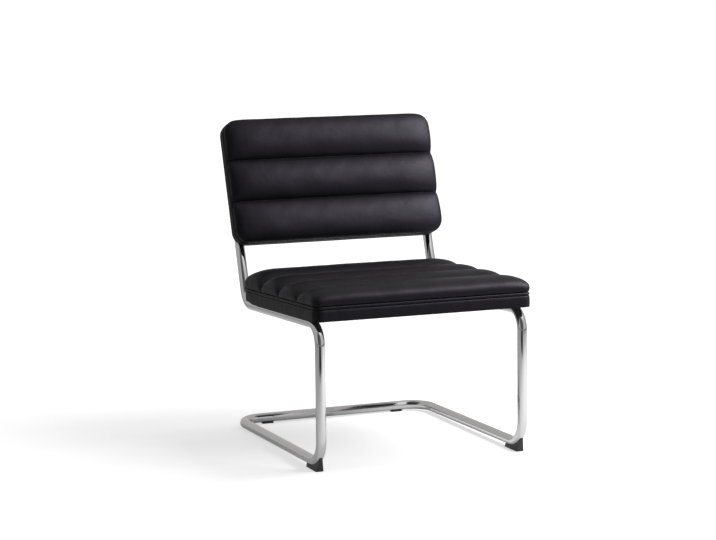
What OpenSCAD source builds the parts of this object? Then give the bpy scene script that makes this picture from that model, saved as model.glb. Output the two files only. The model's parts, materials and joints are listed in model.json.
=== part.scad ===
// Cantilever lounge chair: a bent chromed tube frame with a channelled seat pad and back pad.
// X runs across the chair, Y from front to back, Z up. Lengths are in millimetres.
// The origin is on the floor, under the middle of the whole chair.

/* [Tube frame] */
// Outer diameter of the frame tube
tube_d = 25; // [22:0.5:30]
// Wall of the frame tube
tube_wall = 2; // [1.5:0.25:3]
// Distance between the centrelines of the two side loops
frame_w = 542; // [480:2:620]
// Distance from the front legs to the rear floor bar, centre to centre
floor_rail_l = 621; // [560:1:690]
// Height of the seat rail's centreline at the front legs
rail_front_h = 363; // [330:1:400]
// Drop of the seat rail from the front legs to the back posts
rail_fall = 20; // [0:1:35]
// Distance from the front legs to the corner of seat rail and back post
post_y = 533; // [490:1:570]
// Lean of the back posts from the vertical, in degrees
post_lean = 18.3; // [12:0.1:24]
// Centreline radius of the bends under the seat
seat_bend_r = 50; // [42:1:60]
// Centreline radius of the bends on the floor
floor_bend_r = 62; // [50:1:75]
// Length of the sleeve that joins the two halves of the rear floor bar
sleeve_l = 90; // [60:1:140]

/* [Feet] */
// Thickness of a front foot under the tube
foot_h = 7.5; // [6.5:0.25:10]
// Width of a front foot on the floor
foot_w = 19.5; // [14:0.5:22]
// Width of a front foot at its blunt top
foot_top_w = 7; // [4:0.5:10]
// Distance from the front legs to the toe of a front foot
foot_toe_y = 13; // [8:0.5:18]
// Distance from the front legs to the heel of a front foot
foot_heel_y = 81; // [72:0.5:90]
// Height of a front foot's top
foot_top_h = 36.5; // [28:0.5:42]
// Thickness of a rear glide under the tube
glide_h = 3.2; // [2.6:0.1:5]
// Length of a rear glide along the bar
glide_l = 30; // [20:1:40]
// Width of a rear glide across the bar
glide_w = 16; // [12:0.5:20]
// Distance from a side loop to the middle of its rear glide
glide_inset = 82; // [50:1:90]

/* [Seat pad] */
// Distance that the seat pad stands out past each side loop
seat_overhang = 6.5; // [2:0.25:8]
// Distance from the front legs' centreline to the front of the seat pad
seat_front = 20; // [16:0.5:30]
// Reach of the seat pad past the start of the rear bends
seat_over_bend = 5; // [0:0.5:6]
// Corner radius of the seat pad in plan
seat_corner_r = 20; // [14:0.5:30]
// Thickness of the seat board
seat_board_t = 12; // [9:0.5:15]
// Height of the leather side band above the seat rail
seat_band_h = 25; // [20:0.5:32]
// Depth of the band's lower hem beside the seat rail
seat_hem = 4; // [2:0.5:5]
// Diameter of the piping round the seat
seat_welt_d = 8; // [5:0.5:9]
// Number of rolls across the seat
seat_rolls = 4; // [3:1:5]
// Height of the front roll above the piping
seat_crown_front = 41; // [32:0.5:50]
// Height of the rear roll above the piping
seat_crown_rear = 52; // [36:0.5:56]
// Height of the sewn channels above the piping
seat_channel_h = 15; // [8:0.5:22]

/* [Back pad] */
// Distance that the back pad stands out past each side loop
back_overhang = 10.5; // [4:0.25:16]
// Distance along the posts from the seat rail corner to the back pad's lower edge
back_start = 153; // [130:1:190]
// Height of the back pad along the posts
back_h = 332; // [280:1:380]
// Distance from the back pad's upper edge down to the posts' ends
post_below_top = 32; // [24:1:60]
// Corner radius of the back pad
back_corner_r = 36; // [24:0.5:48]
// Thickness of the back board
back_board_t = 10; // [8:0.5:14]
// Height of the leather side band between the two pipings
back_band_h = 22; // [18:0.5:30]
// Diameter of the piping round the back pad
back_welt_d = 6; // [4:0.5:8]
// Number of rolls across the back
back_rolls = 3; // [2:1:5]
// Height of the rolls of the back above the front piping
back_crown = 31; // [22:0.5:38]
// Height of the back's sewn channels above the front piping
back_channel_h = 8; // [4:0.5:14]

/* [Cover and filling] */
// Thickness of the leather
leather_t = 1.4; // [1:0.1:1.8]
// Thickness of the dust cloth under the seat
dust_cloth_t = 0.8; // [0.5:0.1:1.2]
// Length of the rounded end of each roll
roll_end_l = 90; // [60:1:120]
// Outward swell of the rolls past the piping
roll_swell = 2; // [0.5:0.25:3]
// Inward pull of the sides at the sewn channels
side_draw = 3; // [1:0.25:5]

/* [Fasteners] */
// Diameter of the machine screws that hold the pads
screw_d = 6; // [5:0.5:7]
// Diameter of the heads of the back's screws
screw_head_d = 12; // [10.5:0.5:13]
// Height of the heads of the back's screws
screw_head_h = 3.5; // [2.5:0.25:5]
// Outer diameter of the saddle washers behind the posts
washer_d = 15; // [13.5:0.5:18]
// Thickness of the saddle washers behind the posts
washer_t = 2.5; // [2:0.25:4]
// Diameter of the heads of the seat's screws, inside the rails
rail_screw_head_d = 10; // [9:0.5:11]
// Height of the heads of the seat's screws
rail_screw_head_h = 6; // [4:0.5:6.5]
// Height of the saddle washers inside the rails
rail_saddle_h = 3.5; // [3:0.25:4.5]
// Diameter of the plugged access holes under the rails
access_d = 12; // [11.5:0.25:13]
// Outer diameter of a tee nut's barrel
tee_barrel_d = 8; // [7.75:0.25:9]
// Diameter of a tee nut's flange
tee_flange_d = 19; // [16:0.5:20]
// Thickness of a tee nut's flange
tee_flange_t = 1.4; // [1:0.1:2]
// Distance of the seat screws from the seat pad's front and rear edges
seat_screw_inset = 105; // [80:1:140]
// Distance of the back screws from the back pad's lower and upper edges
back_screw_inset = 72; // [56:1:100]
// Diameter of the screws that hold the front feet
foot_screw_d = 4; // [3:0.25:5]

/* [Hidden] */

// Smoothness of round pieces
$fn = 64;
// Overrun of every cut past the face that it leaves
overrun = 1;
// Gap between a soft piece and its neighbour
soft_gap = 0.3;
// Radial play of a screw in a hole that it passes through
hole_play = 0.3;
// Radial play of a screw in its thread
thread_play = 0.05;
// Gap between two hard pieces that fit each other
fit_gap = 0.15;
// Margin between the edge of a board and the leather round it
board_margin = 2;
// Thickness of a post plug's flange
plug_flange_t = 2;
// Length of a post plug's spigot
plug_spigot_l = 16;
// Length that a rail plug reaches into the rail past its wall
rail_plug_reach = 3;
// Thickness of a rail plug's outer skin
rail_plug_floor = 2.2;
// Thickness of a rail plug's side
rail_plug_side = 1.5;
// Length that a foot screw goes into the tube
foot_screw_reach = 5;
// Height of a foot screw's head
foot_head_h = 2.4;
// Width of a foot screw's driver socket
foot_socket_d = 2.5;
// Depth that a foot screw's head lies inside the foot
foot_recess = 1.6;
// Distance from a foot's heel to its screw
foot_screw_inset = 9;
// Swell of the tube's radius in a bend
bend_swell = 0.04;
// Length that a straight runs on into a bend
bend_lap = 0.4;
// Diameter of the peg that holds a rear glide
peg_d = 6;
// Length that the peg reaches into the tube
peg_reach = 6;
// Width of the driver socket in a screw head
socket_d = 4;
// Depth of the driver socket
socket_depth = 2;

tube_r = tube_d / 2;
bore_r = tube_r - tube_wall;
side_x = frame_w / 2;
rail_rear_h = rail_front_h - rail_fall;
rail_slope = atan2(rail_fall, post_y);
floor_front_h = foot_h + tube_r;
floor_rear_h = glide_h + tube_r;
post_l = back_start + back_h - post_below_top;

// Turn between the seat rail and the post, and the straight length that its bend takes up
post_turn = 90 - post_lean + rail_slope;
post_cut = seat_bend_r * tan(post_turn / 2);

// Seat pad, measured in its own frame: y along the rails from the front legs, z up from the rails
seat_w = frame_w + tube_d + 2 * seat_overhang;
seat_rail_l = norm([post_y, rail_fall]);
seat_d = seat_front + seat_rail_l - post_cut + seat_over_bend;
seat_board_z = soft_gap + dust_cloth_t;
seat_board_top = seat_board_z + seat_board_t;
seat_rim_z = seat_band_h + seat_welt_d + 2 * soft_gap;

// Back pad, measured in its own frame: y up along the posts, z forward from the posts' front
back_w = frame_w + tube_d + 2 * back_overhang;
back_board_z = soft_gap + leather_t;
back_board_top = back_board_z + back_board_t;
back_band_z = back_welt_d + 2 * soft_gap;
back_rim_z = back_band_z + back_band_h + back_welt_d + 2 * soft_gap;

// Whole length of the chair, from which the origin's place follows
front_reach = -(seat_front + roll_swell) * cos(rail_slope);
rear_reach = post_y + (post_l + plug_flange_t) * sin(post_lean) + tube_r * cos(post_lean);
middle_y = (front_reach + rear_reach) / 2;

chrome_colour = "#c9cacd";
leather_colour = "#17161a";
rubber_colour = "#111112";
steel_colour = "#a7a9ac";
wood_colour = "#c79f6b";
foam_colour = "#d8cfa8";
cloth_colour = "#222224";

function unit(v) = v / norm(v);
function turn_at(a, p, b) = acos(unit(p - a) * unit(b - p));
function cut_at(a, p, b, bend_r) = bend_r * tan(turn_at(a, p, b) / 2);

// Corners of one side loop, from the top of its post to the middle of the rear floor bar
function loop_points(side) = [
    [side * side_x, post_y + post_l * sin(post_lean), rail_rear_h + post_l * cos(post_lean)],
    [side * side_x, post_y, rail_rear_h],
    [side * side_x, 0, rail_front_h],
    [side * side_x, 0, floor_front_h],
    [side * side_x, floor_rail_l, floor_rear_h],
    [0, floor_rail_l, floor_rear_h]];
loop_radii = [0, seat_bend_r, seat_bend_r, floor_bend_r, floor_bend_r, 0];

// Length that the bend at corner i takes from the straights beside it
function loop_cut(points, i) = i == 0 || i == len(points) - 1
    ? 0 : cut_at(points[i - 1], points[i], points[i + 1], loop_radii[i]);
// Straight lengths of a loop between its bends
function loop_runs(points) = [
    for (i = [1 : len(points) - 1])
        norm(points[i] - points[i - 1]) - loop_cut(points, i - 1) - loop_cut(points, i)];
// Bends of a loop: centreline radius, angle, and the twist that first turns the tube's inner side
function loop_bends(side) = let (points = loop_points(side), twists = [0, 0, 180, 0, -90 * side]) [
    for (i = [1 : len(points) - 2])
        [loop_radii[i], turn_at(points[i - 1], points[i], points[i + 1]), twists[i]]];

module section(outer_r, inner_r) {
    difference() {
        circle(outer_r);
        if (inner_r > 0) circle(inner_r);
    }
}

// A bend that starts along +Z and turns towards +X, a touch fuller than the straight tube
module bend(bend_r, turn, outer_r, inner_r) {
    translate([bend_r, 0, 0])
        rotate([90, 0, 180])
            rotate_extrude(angle = turn)
                translate([bend_r, 0])
                    section(outer_r + bend_swell, inner_r > 0 ? inner_r + bend_swell : 0);
}

// Goes on along +Z where such a bend ends
module after_bend(bend_r, turn) {
    translate([bend_r, 0, 0])
        rotate([0, turn, 0])
            translate([-bend_r, 0, 0])
                children();
}

// A tube that starts along +Z: straight by straight, with a bend after each one but an extra last
module bent_tube(runs, bends, outer_r, inner_r, i = 0) {
    lap_before = i > 0 ? bend_lap : 0;
    lap_after = i < len(bends) ? bend_lap : 0;
    translate([0, 0, -lap_before])
        linear_extrude(lap_before + runs[i] + lap_after)
            section(outer_r, inner_r);
    if (i < len(bends))
        translate([0, 0, runs[i]])
            rotate([0, 0, bends[i][2]]) {
                bend(bends[i][0], bends[i][1], outer_r, inner_r);
                if (i + 1 < len(runs))
                    after_bend(bends[i][0], bends[i][1])
                        bent_tube(runs, bends, outer_r, inner_r, i + 1);
            }
}

// The leg, floor bend and floor rail as one solid rod
module leg_and_floor_rod(side, rod_r) {
    points = loop_points(side);
    runs = loop_runs(points);
    translate([side * side_x, 0, rail_front_h - loop_cut(points, 2)])
        rotate([180, 0, 90])
            bent_tube([runs[2], runs[3]], [loop_bends(side)[2]], rod_r, 0);
}

module in_chair_frame() {
    translate([0, -middle_y, 0])
        children();
}

module in_seat_frame() {
    in_chair_frame()
        translate([0, 0, rail_front_h])
            rotate([-rail_slope, 0, 0])
                translate([0, 0, tube_r])
                    children();
}

// Frame of the posts: z up along the posts' centrelines, y to the back
module in_post_frame() {
    in_chair_frame()
        translate([0, post_y, rail_rear_h])
            rotate([-post_lean, 0, 0])
                children();
}

module in_back_frame() {
    in_post_frame()
        translate([0, -tube_r, back_start])
            rotate([90, 0, 0])
                children();
}

// Screw places along the rails and along the posts
seat_screw_ys = [seat_screw_inset - seat_front, seat_d - seat_front - seat_screw_inset];
back_screw_ys = [back_screw_inset, back_h - back_screw_inset];

module at_seat_screws() {
    in_seat_frame()
        for (side = [-1, 1], y = seat_screw_ys)
            translate([side * side_x, y, 0])
                children();
}

module at_back_screws() {
    in_back_frame()
        for (side = [-1, 1], y = back_screw_ys)
            translate([side * side_x, y, 0])
                children();
}

// Frame tubes

module frame_tube(side) {
    color(chrome_colour)
        difference() {
            in_post_frame()
                translate([side * side_x, 0, post_l])
                    rotate([180, 0, -90])
                        bent_tube(loop_runs(loop_points(side)), loop_bends(side), tube_r, bore_r);
            pad_screw_holes(side);
            in_chair_frame() {
                foot_screw_hole(side);
                glide_peg_hole(side);
            }
        }
}

module pad_screw_holes(side) {
    in_seat_frame()
        for (y = seat_screw_ys)
            translate([side * side_x, y, 0]) {
                translate([0, 0, -tube_r])
                    cylinder(r = screw_d / 2 + hole_play, h = tube_r + overrun);
                translate([0, 0, -tube_d - overrun])
                    cylinder(d = access_d, h = tube_r + overrun);
            }
    in_back_frame()
        for (y = back_screw_ys)
            translate([side * side_x, y, -tube_d - overrun])
                cylinder(r = screw_d / 2 + hole_play, h = tube_d + 2 * overrun);
}

foot_screw_y = foot_heel_y - foot_screw_inset;

module foot_screw_hole(side) {
    translate([side * side_x, foot_screw_y, 0])
        cylinder(r = foot_screw_d / 2 + hole_play, h = floor_front_h);
}

module glide_peg_hole(side) {
    translate([side * (side_x - glide_inset), floor_rail_l, 0])
        cylinder(r = peg_d / 2 + fit_gap, h = floor_rear_h);
}

module left_frame_tube() {
    frame_tube(-1);
}

module right_frame_tube() {
    frame_tube(1);
}

module rear_bar_sleeve() {
    sleeve_r = bore_r - fit_gap;
    color(steel_colour)
        in_chair_frame()
            translate([-sleeve_l / 2, floor_rail_l, floor_rear_h])
                rotate([0, 90, 0])
                    linear_extrude(sleeve_l)
                        section(sleeve_r, sleeve_r - tube_wall);
}

module post_plug(side) {
    color(rubber_colour)
        in_post_frame()
            translate([side * side_x, 0, post_l]) {
                cylinder(r = tube_r, h = plug_flange_t);
                translate([0, 0, -plug_spigot_l])
                    cylinder(r = bore_r - fit_gap, h = plug_spigot_l);
            }
}

module left_post_plug() {
    post_plug(-1);
}

module right_post_plug() {
    post_plug(1);
}

// Feet and glides

// Side view of a front foot: y from front to back, z up
module foot_side_outline() {
    toe_slope_share = 0.28;
    polygon([[foot_toe_y, 0], [foot_heel_y, 0], [foot_heel_y, floor_front_h],
             [foot_toe_y - toe_slope_share * foot_top_h, foot_top_h]]);
}

// Front view of a front foot: it narrows to its blunt top
module foot_front_outline() {
    polygon([[-foot_w / 2, 0], [foot_w / 2, 0], [foot_top_w / 2, foot_top_h], [-foot_top_w / 2, foot_top_h]]);
}

module front_foot(side) {
    color(rubber_colour)
        in_chair_frame()
            difference() {
                intersection() {
                    translate([side * side_x + foot_w / 2, 0, 0])
                        rotate([90, 0, -90])
                            mirror([1, 0, 0])
                                linear_extrude(foot_w)
                                    foot_side_outline();
                    translate([side * side_x, foot_heel_y + overrun, 0])
                        rotate([90, 0, 0])
                            linear_extrude(foot_heel_y + 2 * overrun + seat_front)
                                foot_front_outline();
                }
                leg_and_floor_rod(side, tube_r + fit_gap);
                translate([side * side_x, foot_screw_y, -overrun])
                    cylinder(r = foot_screw_d / 2 + hole_play, h = floor_front_h);
                translate([side * side_x, foot_screw_y, -overrun])
                    cylinder(r = foot_screw_d + hole_play, h = foot_recess + foot_head_h + overrun);
            }
}

module left_front_foot() {
    front_foot(-1);
}

module right_front_foot() {
    front_foot(1);
}

module front_foot_screws() {
    color(steel_colour)
        in_chair_frame()
            for (side = [-1, 1])
                translate([side * side_x, foot_screw_y, foot_recess])
                    difference() {
                        union() {
                            cylinder(r = foot_screw_d, h = foot_head_h);
                            cylinder(r = foot_screw_d / 2, h = foot_h + tube_wall + foot_screw_reach);
                        }
                        translate([0, 0, -overrun])
                            cylinder(d = foot_socket_d, h = foot_head_h / 2 + overrun, $fn = 6);
                    }
}

module rear_glide(side) {
    color(rubber_colour)
        in_chair_frame()
            translate([side * (side_x - glide_inset), floor_rail_l, 0]) {
                difference() {
                    translate([-glide_l / 2, -glide_w / 2, 0])
                        cube([glide_l, glide_w, floor_rear_h / 2]);
                    translate([-glide_l / 2 - overrun, 0, floor_rear_h])
                        rotate([0, 90, 0])
                            cylinder(r = tube_r + fit_gap, h = glide_l + 2 * overrun);
                }
                translate([0, 0, glide_h / 2])
                    cylinder(d = peg_d, h = glide_h / 2 + tube_wall + peg_reach);
            }
}

module left_rear_glide() {
    rear_glide(-1);
}

module right_rear_glide() {
    rear_glide(1);
}

// Shared shapes of the two pads

// Outline of a pad, drawn in from its edge by an inset
module pad_outline(w, d, corner_r, inset) {
    r = corner_r - inset;
    inner_w = w - 2 * inset;
    translate([0, inset]) {
        translate([-inner_w / 2 + r, 0])
            square([inner_w - 2 * r, d - 2 * inset]);
        translate([-inner_w / 2, r])
            square([inner_w, d - 2 * inset - 2 * r]);
        for (x = [-inner_w / 2 + r, inner_w / 2 - r], y = [r, d - 2 * inset - r])
            translate([x, y])
                circle(r);
    }
}

module pad_layer(w, d, corner_r, inset, low, high) {
    translate([0, 0, low])
        linear_extrude(high - low)
            pad_outline(w, d, corner_r, inset);
}

module pad_band(w, d, corner_r, low, high) {
    translate([0, 0, low])
        linear_extrude(high - low)
            difference() {
                pad_outline(w, d, corner_r, 0);
                pad_outline(w, d, corner_r, leather_t);
            }
}

// Piping all round a pad
module pad_welt(w, d, corner_r, inset, height, rod_r) {
    across = w - 2 * corner_r;
    along = d - 2 * corner_r;
    translate([-across / 2, inset, height])
        rotate([90, 0, 90])
            bent_tube([across, along, across, along],
                      [for (corner = [1 : 4]) [corner_r - inset, 90, 0]], rod_r, 0);
}

// Roll form: a grid of points over the pad, rows from front to back and columns from left to right
roll_steps = 8;
end_steps = 5;
roll_fullness_share = 0.85;
edge_fullness_share = 0.5;
end_round_share = 1.3;
end_fullness_share = 0.5;
columns = 2 * end_steps + 2;

function row_count(rolls) = rolls * roll_steps;
// Angle of a row round its roll, from -90 at its front channel to 90 at its rear one
function row_angle(row) = row % roll_steps / roll_steps * 180 - 90;
function row_roll(row) = floor(row / roll_steps);
function is_edge_half(row, rolls) = row < roll_steps / 2 || row > row_count(rolls) - roll_steps / 2;

// Place of a row along the pad's depth, with the swell of the outermost rolls
function row_swell(row, rolls) = is_edge_half(row, rolls) ? roll_swell * sin(2 * row_angle(row)) : 0;
function row_y(row, rolls, d) = row == row_count(rolls) ? d
    : (row_roll(row) + (1 + sin(row_angle(row))) / 2) * d / rolls + row_swell(row, rolls);

function row_crown(row, rolls, crown_front, crown_rear) = crown_front
    + (crown_rear - crown_front) * min(row_roll(row), rolls - 1) / max(1, rolls - 1);
// A roll rises steeply from the pad's edge and more gently from a channel
function row_fullness(row, rolls) = is_edge_half(row, rolls) ? edge_fullness_share : roll_fullness_share;
function row_floor(row, rolls, channel_h) = is_edge_half(row, rolls) ? 0 : channel_h;
function row_height(row, rolls, crown, channel_h) = row == 0 || row == row_count(rolls) ? 0
    : row_floor(row, rolls, channel_h)
        + (crown - row_floor(row, rolls, channel_h)) * pow(cos(row_angle(row)), row_fullness(row, rolls));

// Half width of the pad at a row, inside its rounded corners and drawn in at the channels
function corner_inset(y, d, corner_r) = let (edge = max(0, min(y, d - y)))
    edge >= corner_r ? 0 : corner_r - sqrt(corner_r * corner_r - (corner_r - edge) * (corner_r - edge));
function row_draw(row, rolls) = is_edge_half(row, rolls) ? 0 : side_draw * pow(abs(sin(row_angle(row))), 4);
function row_half_w(row, rolls, w, d, corner_r) =
    w / 2 - corner_inset(row_y(row, rolls, d), d, corner_r) - row_draw(row, rolls);

// Angle of a column round the end of a roll: 0 at the rim, 90 where the end's rounding stops
function column_angle(column) = 90 * min(1, min(column, columns - column) / end_steps);
function column_x(column, half_w) = column == columns / 2 ? 0
    : (column < columns / 2 ? -1 : 1) * (half_w
        - roll_end_l * pow(1 - cos(column_angle(column)), end_round_share)
        + roll_swell * sin(2 * column_angle(column)));
function column_share(column) = column == 0 || column == columns ? 0
    : pow(sin(column_angle(column)), end_fullness_share);

// All points of a roll form that lies a given distance inside the pad's surface
function roll_points(rolls, w, d, corner_r, crown_front, crown_rear, channel_h, inset) = [
    for (row = [0 : row_count(rolls)], column = [0 : columns])
        let (inner_d = d - 2 * inset,
             crown = row_crown(row, rolls, crown_front, crown_rear) - inset,
             half_w = row_half_w(row, rolls, w - 2 * inset, inner_d, corner_r - inset))
        [column_x(column, half_w),
         inset + row_y(row, rolls, inner_d),
         row_height(row, rolls, crown, channel_h - inset) * column_share(column)]];

function spot(row, column) = row * (columns + 1) + column;

// Faces over the top of a roll form, split towards the pad's middle; turned over for its underside
function top_faces(rolls, start, over) = [
    for (row = [0 : row_count(rolls) - 1], column = [0 : columns - 1], half = [0, 1])
        let (a = start + spot(row, column), b = start + spot(row + 1, column),
             c = start + spot(row + 1, column + 1), e = start + spot(row, column + 1),
             crossed = (column < columns / 2) != (row < row_count(rolls) / 2),
             face = crossed ? (half == 0 ? [a, b, e] : [b, c, e]) : (half == 0 ? [a, b, c] : [a, c, e]))
        over ? [face[0], face[2], face[1]] : face];

// The rim of a roll form, once round
function rim(rolls) = let (rows = row_count(rolls)) concat(
    [for (column = [0 : columns - 1]) spot(0, column)],
    [for (row = [0 : rows - 1]) spot(row, columns)],
    [for (column = [columns : -1 : 1]) spot(rows, column)],
    [for (row = [rows : -1 : 1]) spot(row, 0)]);

function rim_faces(rolls, start) = let (loop = rim(rolls), count = len(loop)) [
    for (i = [0 : count - 1], half = [0, 1])
        let (a = loop[i], b = loop[(i + 1) % count])
        half == 0 ? [a, b, start + b] : [a, start + b, start + a]];

// Flat underside of a solid roll form, in strips that span the pad's width
function base_faces(rolls) = let (rows = row_count(rolls)) concat(
    [for (column = [0 : columns - 1]) [spot(1, 0), spot(0, column), spot(0, column + 1)]],
    [[spot(1, 0), spot(0, columns), spot(1, columns)]],
    [for (row = [1 : rows - 2]) [spot(row, 0), spot(row, columns), spot(row + 1, columns)]],
    [for (row = [1 : rows - 2]) [spot(row, 0), spot(row + 1, columns), spot(row + 1, 0)]],
    [[spot(rows - 1, 0), spot(rows - 1, columns), spot(rows, columns)]],
    [for (column = [columns - 1 : -1 : 0]) [spot(rows - 1, 0), spot(rows, column + 1), spot(rows, column)]]);

// The leather over the rolls: a shell as thick as the leather, open below
module roll_cover(rolls, w, d, corner_r, crown_front, crown_rear, channel_h) {
    outer = roll_points(rolls, w, d, corner_r, crown_front, crown_rear, channel_h, 0);
    inner = roll_points(rolls, w, d, corner_r, crown_front, crown_rear, channel_h, leather_t);
    polyhedron(concat(outer, inner),
        concat(top_faces(rolls, 0, false), top_faces(rolls, len(outer), true), rim_faces(rolls, len(outer))));
}

// The foam inside the rolls, clear of the leather
module roll_filling(rolls, w, d, corner_r, crown_front, crown_rear, channel_h) {
    points = roll_points(rolls, w, d, corner_r, crown_front, crown_rear, channel_h, leather_t + soft_gap);
    polyhedron(points, concat(top_faces(rolls, 0, false), base_faces(rolls)));
}

// Base foam: as wide as the band below the piping and narrower beside it
module foam_slab(w, d, corner_r, low, shoulder, high, welt_d) {
    pad_layer(w, d, corner_r, leather_t + soft_gap, low, shoulder);
    pad_layer(w, d, corner_r, welt_d + soft_gap, shoulder, high);
}

// Pad fasteners, drawn up from the tube's surface

module tee_nut(board_low, board_high) {
    difference() {
        union() {
            translate([0, 0, board_low])
                cylinder(d = tee_barrel_d, h = board_high - board_low);
            translate([0, 0, board_high - tee_flange_t])
                cylinder(d = tee_flange_d, h = tee_flange_t);
        }
        translate([0, 0, board_low - overrun])
            cylinder(r = screw_d / 2 + thread_play, h = board_high - board_low + 2 * overrun);
    }
}

module tee_nut_pocket(board_low, board_high) {
    translate([0, 0, board_low - overrun])
        cylinder(r = tee_barrel_d / 2 + fit_gap, h = board_high - board_low + 2 * overrun);
    translate([0, 0, board_high - tee_flange_t])
        cylinder(r = tee_flange_d / 2 + fit_gap, h = tee_flange_t + overrun);
}

// A back screw goes through the post, with its head on a saddle washer behind it
module pad_screw(board_high) {
    difference() {
        union() {
            translate([0, 0, -tube_d - washer_t])
                cylinder(d = screw_d, h = tube_d + washer_t + board_high - tee_flange_t);
            translate([0, 0, -tube_d - washer_t - screw_head_h])
                cylinder(d = screw_head_d, h = screw_head_h);
        }
        translate([0, 0, -tube_d - washer_t - screw_head_h - overrun])
            cylinder(d = socket_d, h = socket_depth + overrun, $fn = 6);
    }
}

// A length of round rod along the rail, centred on the tube's line
module along_rail(rod_r) {
    translate([0, -access_d, -tube_r])
        rotate([-90, 0, 0])
            cylinder(r = rod_r, h = 2 * access_d);
}

// A seat screw starts inside the rail, where its head bears on a saddle under the upper wall
module rail_screw(board_high) {
    head_low = -tube_wall - fit_gap - rail_saddle_h - rail_screw_head_h;
    difference() {
        union() {
            translate([0, 0, head_low])
                cylinder(d = rail_screw_head_d, h = rail_screw_head_h);
            translate([0, 0, head_low])
                cylinder(d = screw_d, h = board_high - tee_flange_t - head_low);
        }
        translate([0, 0, head_low - overrun])
            cylinder(d = socket_d, h = socket_depth + overrun, $fn = 6);
    }
}

module rail_saddle() {
    difference() {
        intersection() {
            translate([0, 0, -tube_wall - fit_gap - rail_saddle_h])
                cylinder(d = rail_screw_head_d, h = rail_saddle_h + tube_wall);
            along_rail(bore_r - fit_gap);
        }
        translate([0, 0, -tube_r])
            cylinder(r = screw_d / 2 + hole_play, h = tube_r);
    }
}

// A plug that closes an access hole, level with the rail's surface
module rail_plug() {
    plug_r = access_d / 2 - fit_gap;
    difference() {
        intersection() {
            translate([0, 0, -tube_d])
                cylinder(r = plug_r, h = tube_wall + rail_plug_reach);
            along_rail(tube_r - fit_gap);
        }
        translate([0, 0, -tube_d + rail_plug_floor])
            cylinder(r = plug_r - rail_plug_side, h = tube_r);
    }
}

module saddle_washer() {
    difference() {
        translate([0, 0, -tube_d - washer_t])
            cylinder(d = washer_d, h = washer_t + tube_r / 2);
        translate([0, -washer_d, -tube_r])
            rotate([-90, 0, 0])
                cylinder(r = tube_r + fit_gap, h = 2 * washer_d);
        translate([0, 0, -tube_d - washer_t - overrun])
            cylinder(r = screw_d / 2 + hole_play, h = tube_d);
    }
}

// Seat pad

module seat_place() {
    in_seat_frame()
        translate([0, -seat_front, 0])
            children();
}

module seat_board() {
    color(wood_colour)
        difference() {
            seat_place()
                pad_layer(seat_w, seat_d, seat_corner_r, leather_t + board_margin, seat_board_z,
                          seat_board_top);
            at_seat_screws()
                tee_nut_pocket(seat_board_z, seat_board_top);
        }
}

module seat_foam_slab() {
    color(foam_colour)
        seat_place()
            foam_slab(seat_w, seat_d, seat_corner_r, seat_board_top, seat_band_h, seat_rim_z - soft_gap,
                      seat_welt_d);
}

module seat_roll_foam() {
    color(foam_colour)
        seat_place()
            translate([0, 0, seat_rim_z])
                roll_filling(seat_rolls, seat_w, seat_d, seat_corner_r, seat_crown_front, seat_crown_rear,
                             seat_channel_h);
}

module seat_cover() {
    color(leather_colour)
        seat_place()
            translate([0, 0, seat_rim_z])
                roll_cover(seat_rolls, seat_w, seat_d, seat_corner_r, seat_crown_front, seat_crown_rear,
                           seat_channel_h);
}

// The band hangs a little beside the rails, but not over the rear bends
module seat_boxing() {
    hem_end = seat_d - seat_over_bend - seat_corner_r;
    color(leather_colour)
        seat_place()
            difference() {
                pad_band(seat_w, seat_d, seat_corner_r, -seat_hem, seat_band_h);
                translate([-seat_w / 2 - overrun, hem_end, -seat_hem - overrun])
                    cube([seat_w + 2 * overrun, seat_d, seat_hem + overrun + seat_board_z]);
            }
}

module seat_welt() {
    color(leather_colour)
        seat_place()
            pad_welt(seat_w, seat_d, seat_corner_r, seat_welt_d / 2,
                     seat_band_h + soft_gap + seat_welt_d / 2, seat_welt_d / 2);
}

module seat_dust_cover() {
    color(cloth_colour)
        difference() {
            seat_place()
                pad_layer(seat_w, seat_d, seat_corner_r, leather_t + soft_gap, soft_gap, seat_board_z);
            at_seat_screws()
                translate([0, 0, -overrun])
                    cylinder(r = screw_d / 2 + hole_play, h = seat_board_top);
        }
}

module seat_tee_nuts() {
    color(steel_colour)
        at_seat_screws()
            tee_nut(seat_board_z, seat_board_top);
}

module seat_screws() {
    color(steel_colour)
        at_seat_screws()
            rail_screw(seat_board_top);
}

module seat_saddle_washers() {
    color(rubber_colour)
        at_seat_screws()
            rail_saddle();
}

module seat_rail_plugs() {
    color(rubber_colour)
        at_seat_screws()
            rail_plug();
}

// Back pad

module back_board() {
    color(wood_colour)
        difference() {
            in_back_frame()
                pad_layer(back_w, back_h, back_corner_r, back_welt_d + board_margin, back_board_z,
                          back_board_top);
            at_back_screws()
                tee_nut_pocket(back_board_z, back_board_top);
        }
}

module back_foam_slab() {
    color(foam_colour)
        in_back_frame()
            foam_slab(back_w, back_h, back_corner_r, back_board_top, back_band_z + back_band_h,
                      back_rim_z - soft_gap, back_welt_d);
}

module back_roll_foam() {
    color(foam_colour)
        in_back_frame()
            translate([0, 0, back_rim_z])
                roll_filling(back_rolls, back_w, back_h, back_corner_r, back_crown, back_crown,
                             back_channel_h);
}

module back_cover() {
    color(leather_colour)
        in_back_frame()
            translate([0, 0, back_rim_z])
                roll_cover(back_rolls, back_w, back_h, back_corner_r, back_crown, back_crown,
                           back_channel_h);
}

module back_boxing() {
    color(leather_colour)
        in_back_frame()
            pad_band(back_w, back_h, back_corner_r, back_band_z, back_band_z + back_band_h);
}

module back_welt(height) {
    color(leather_colour)
        in_back_frame()
            pad_welt(back_w, back_h, back_corner_r, back_welt_d / 2, height, back_welt_d / 2);
}

module back_front_welt() {
    back_welt(back_band_z + back_band_h + soft_gap + back_welt_d / 2);
}

module back_rear_welt() {
    back_welt(soft_gap + back_welt_d / 2);
}

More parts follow.
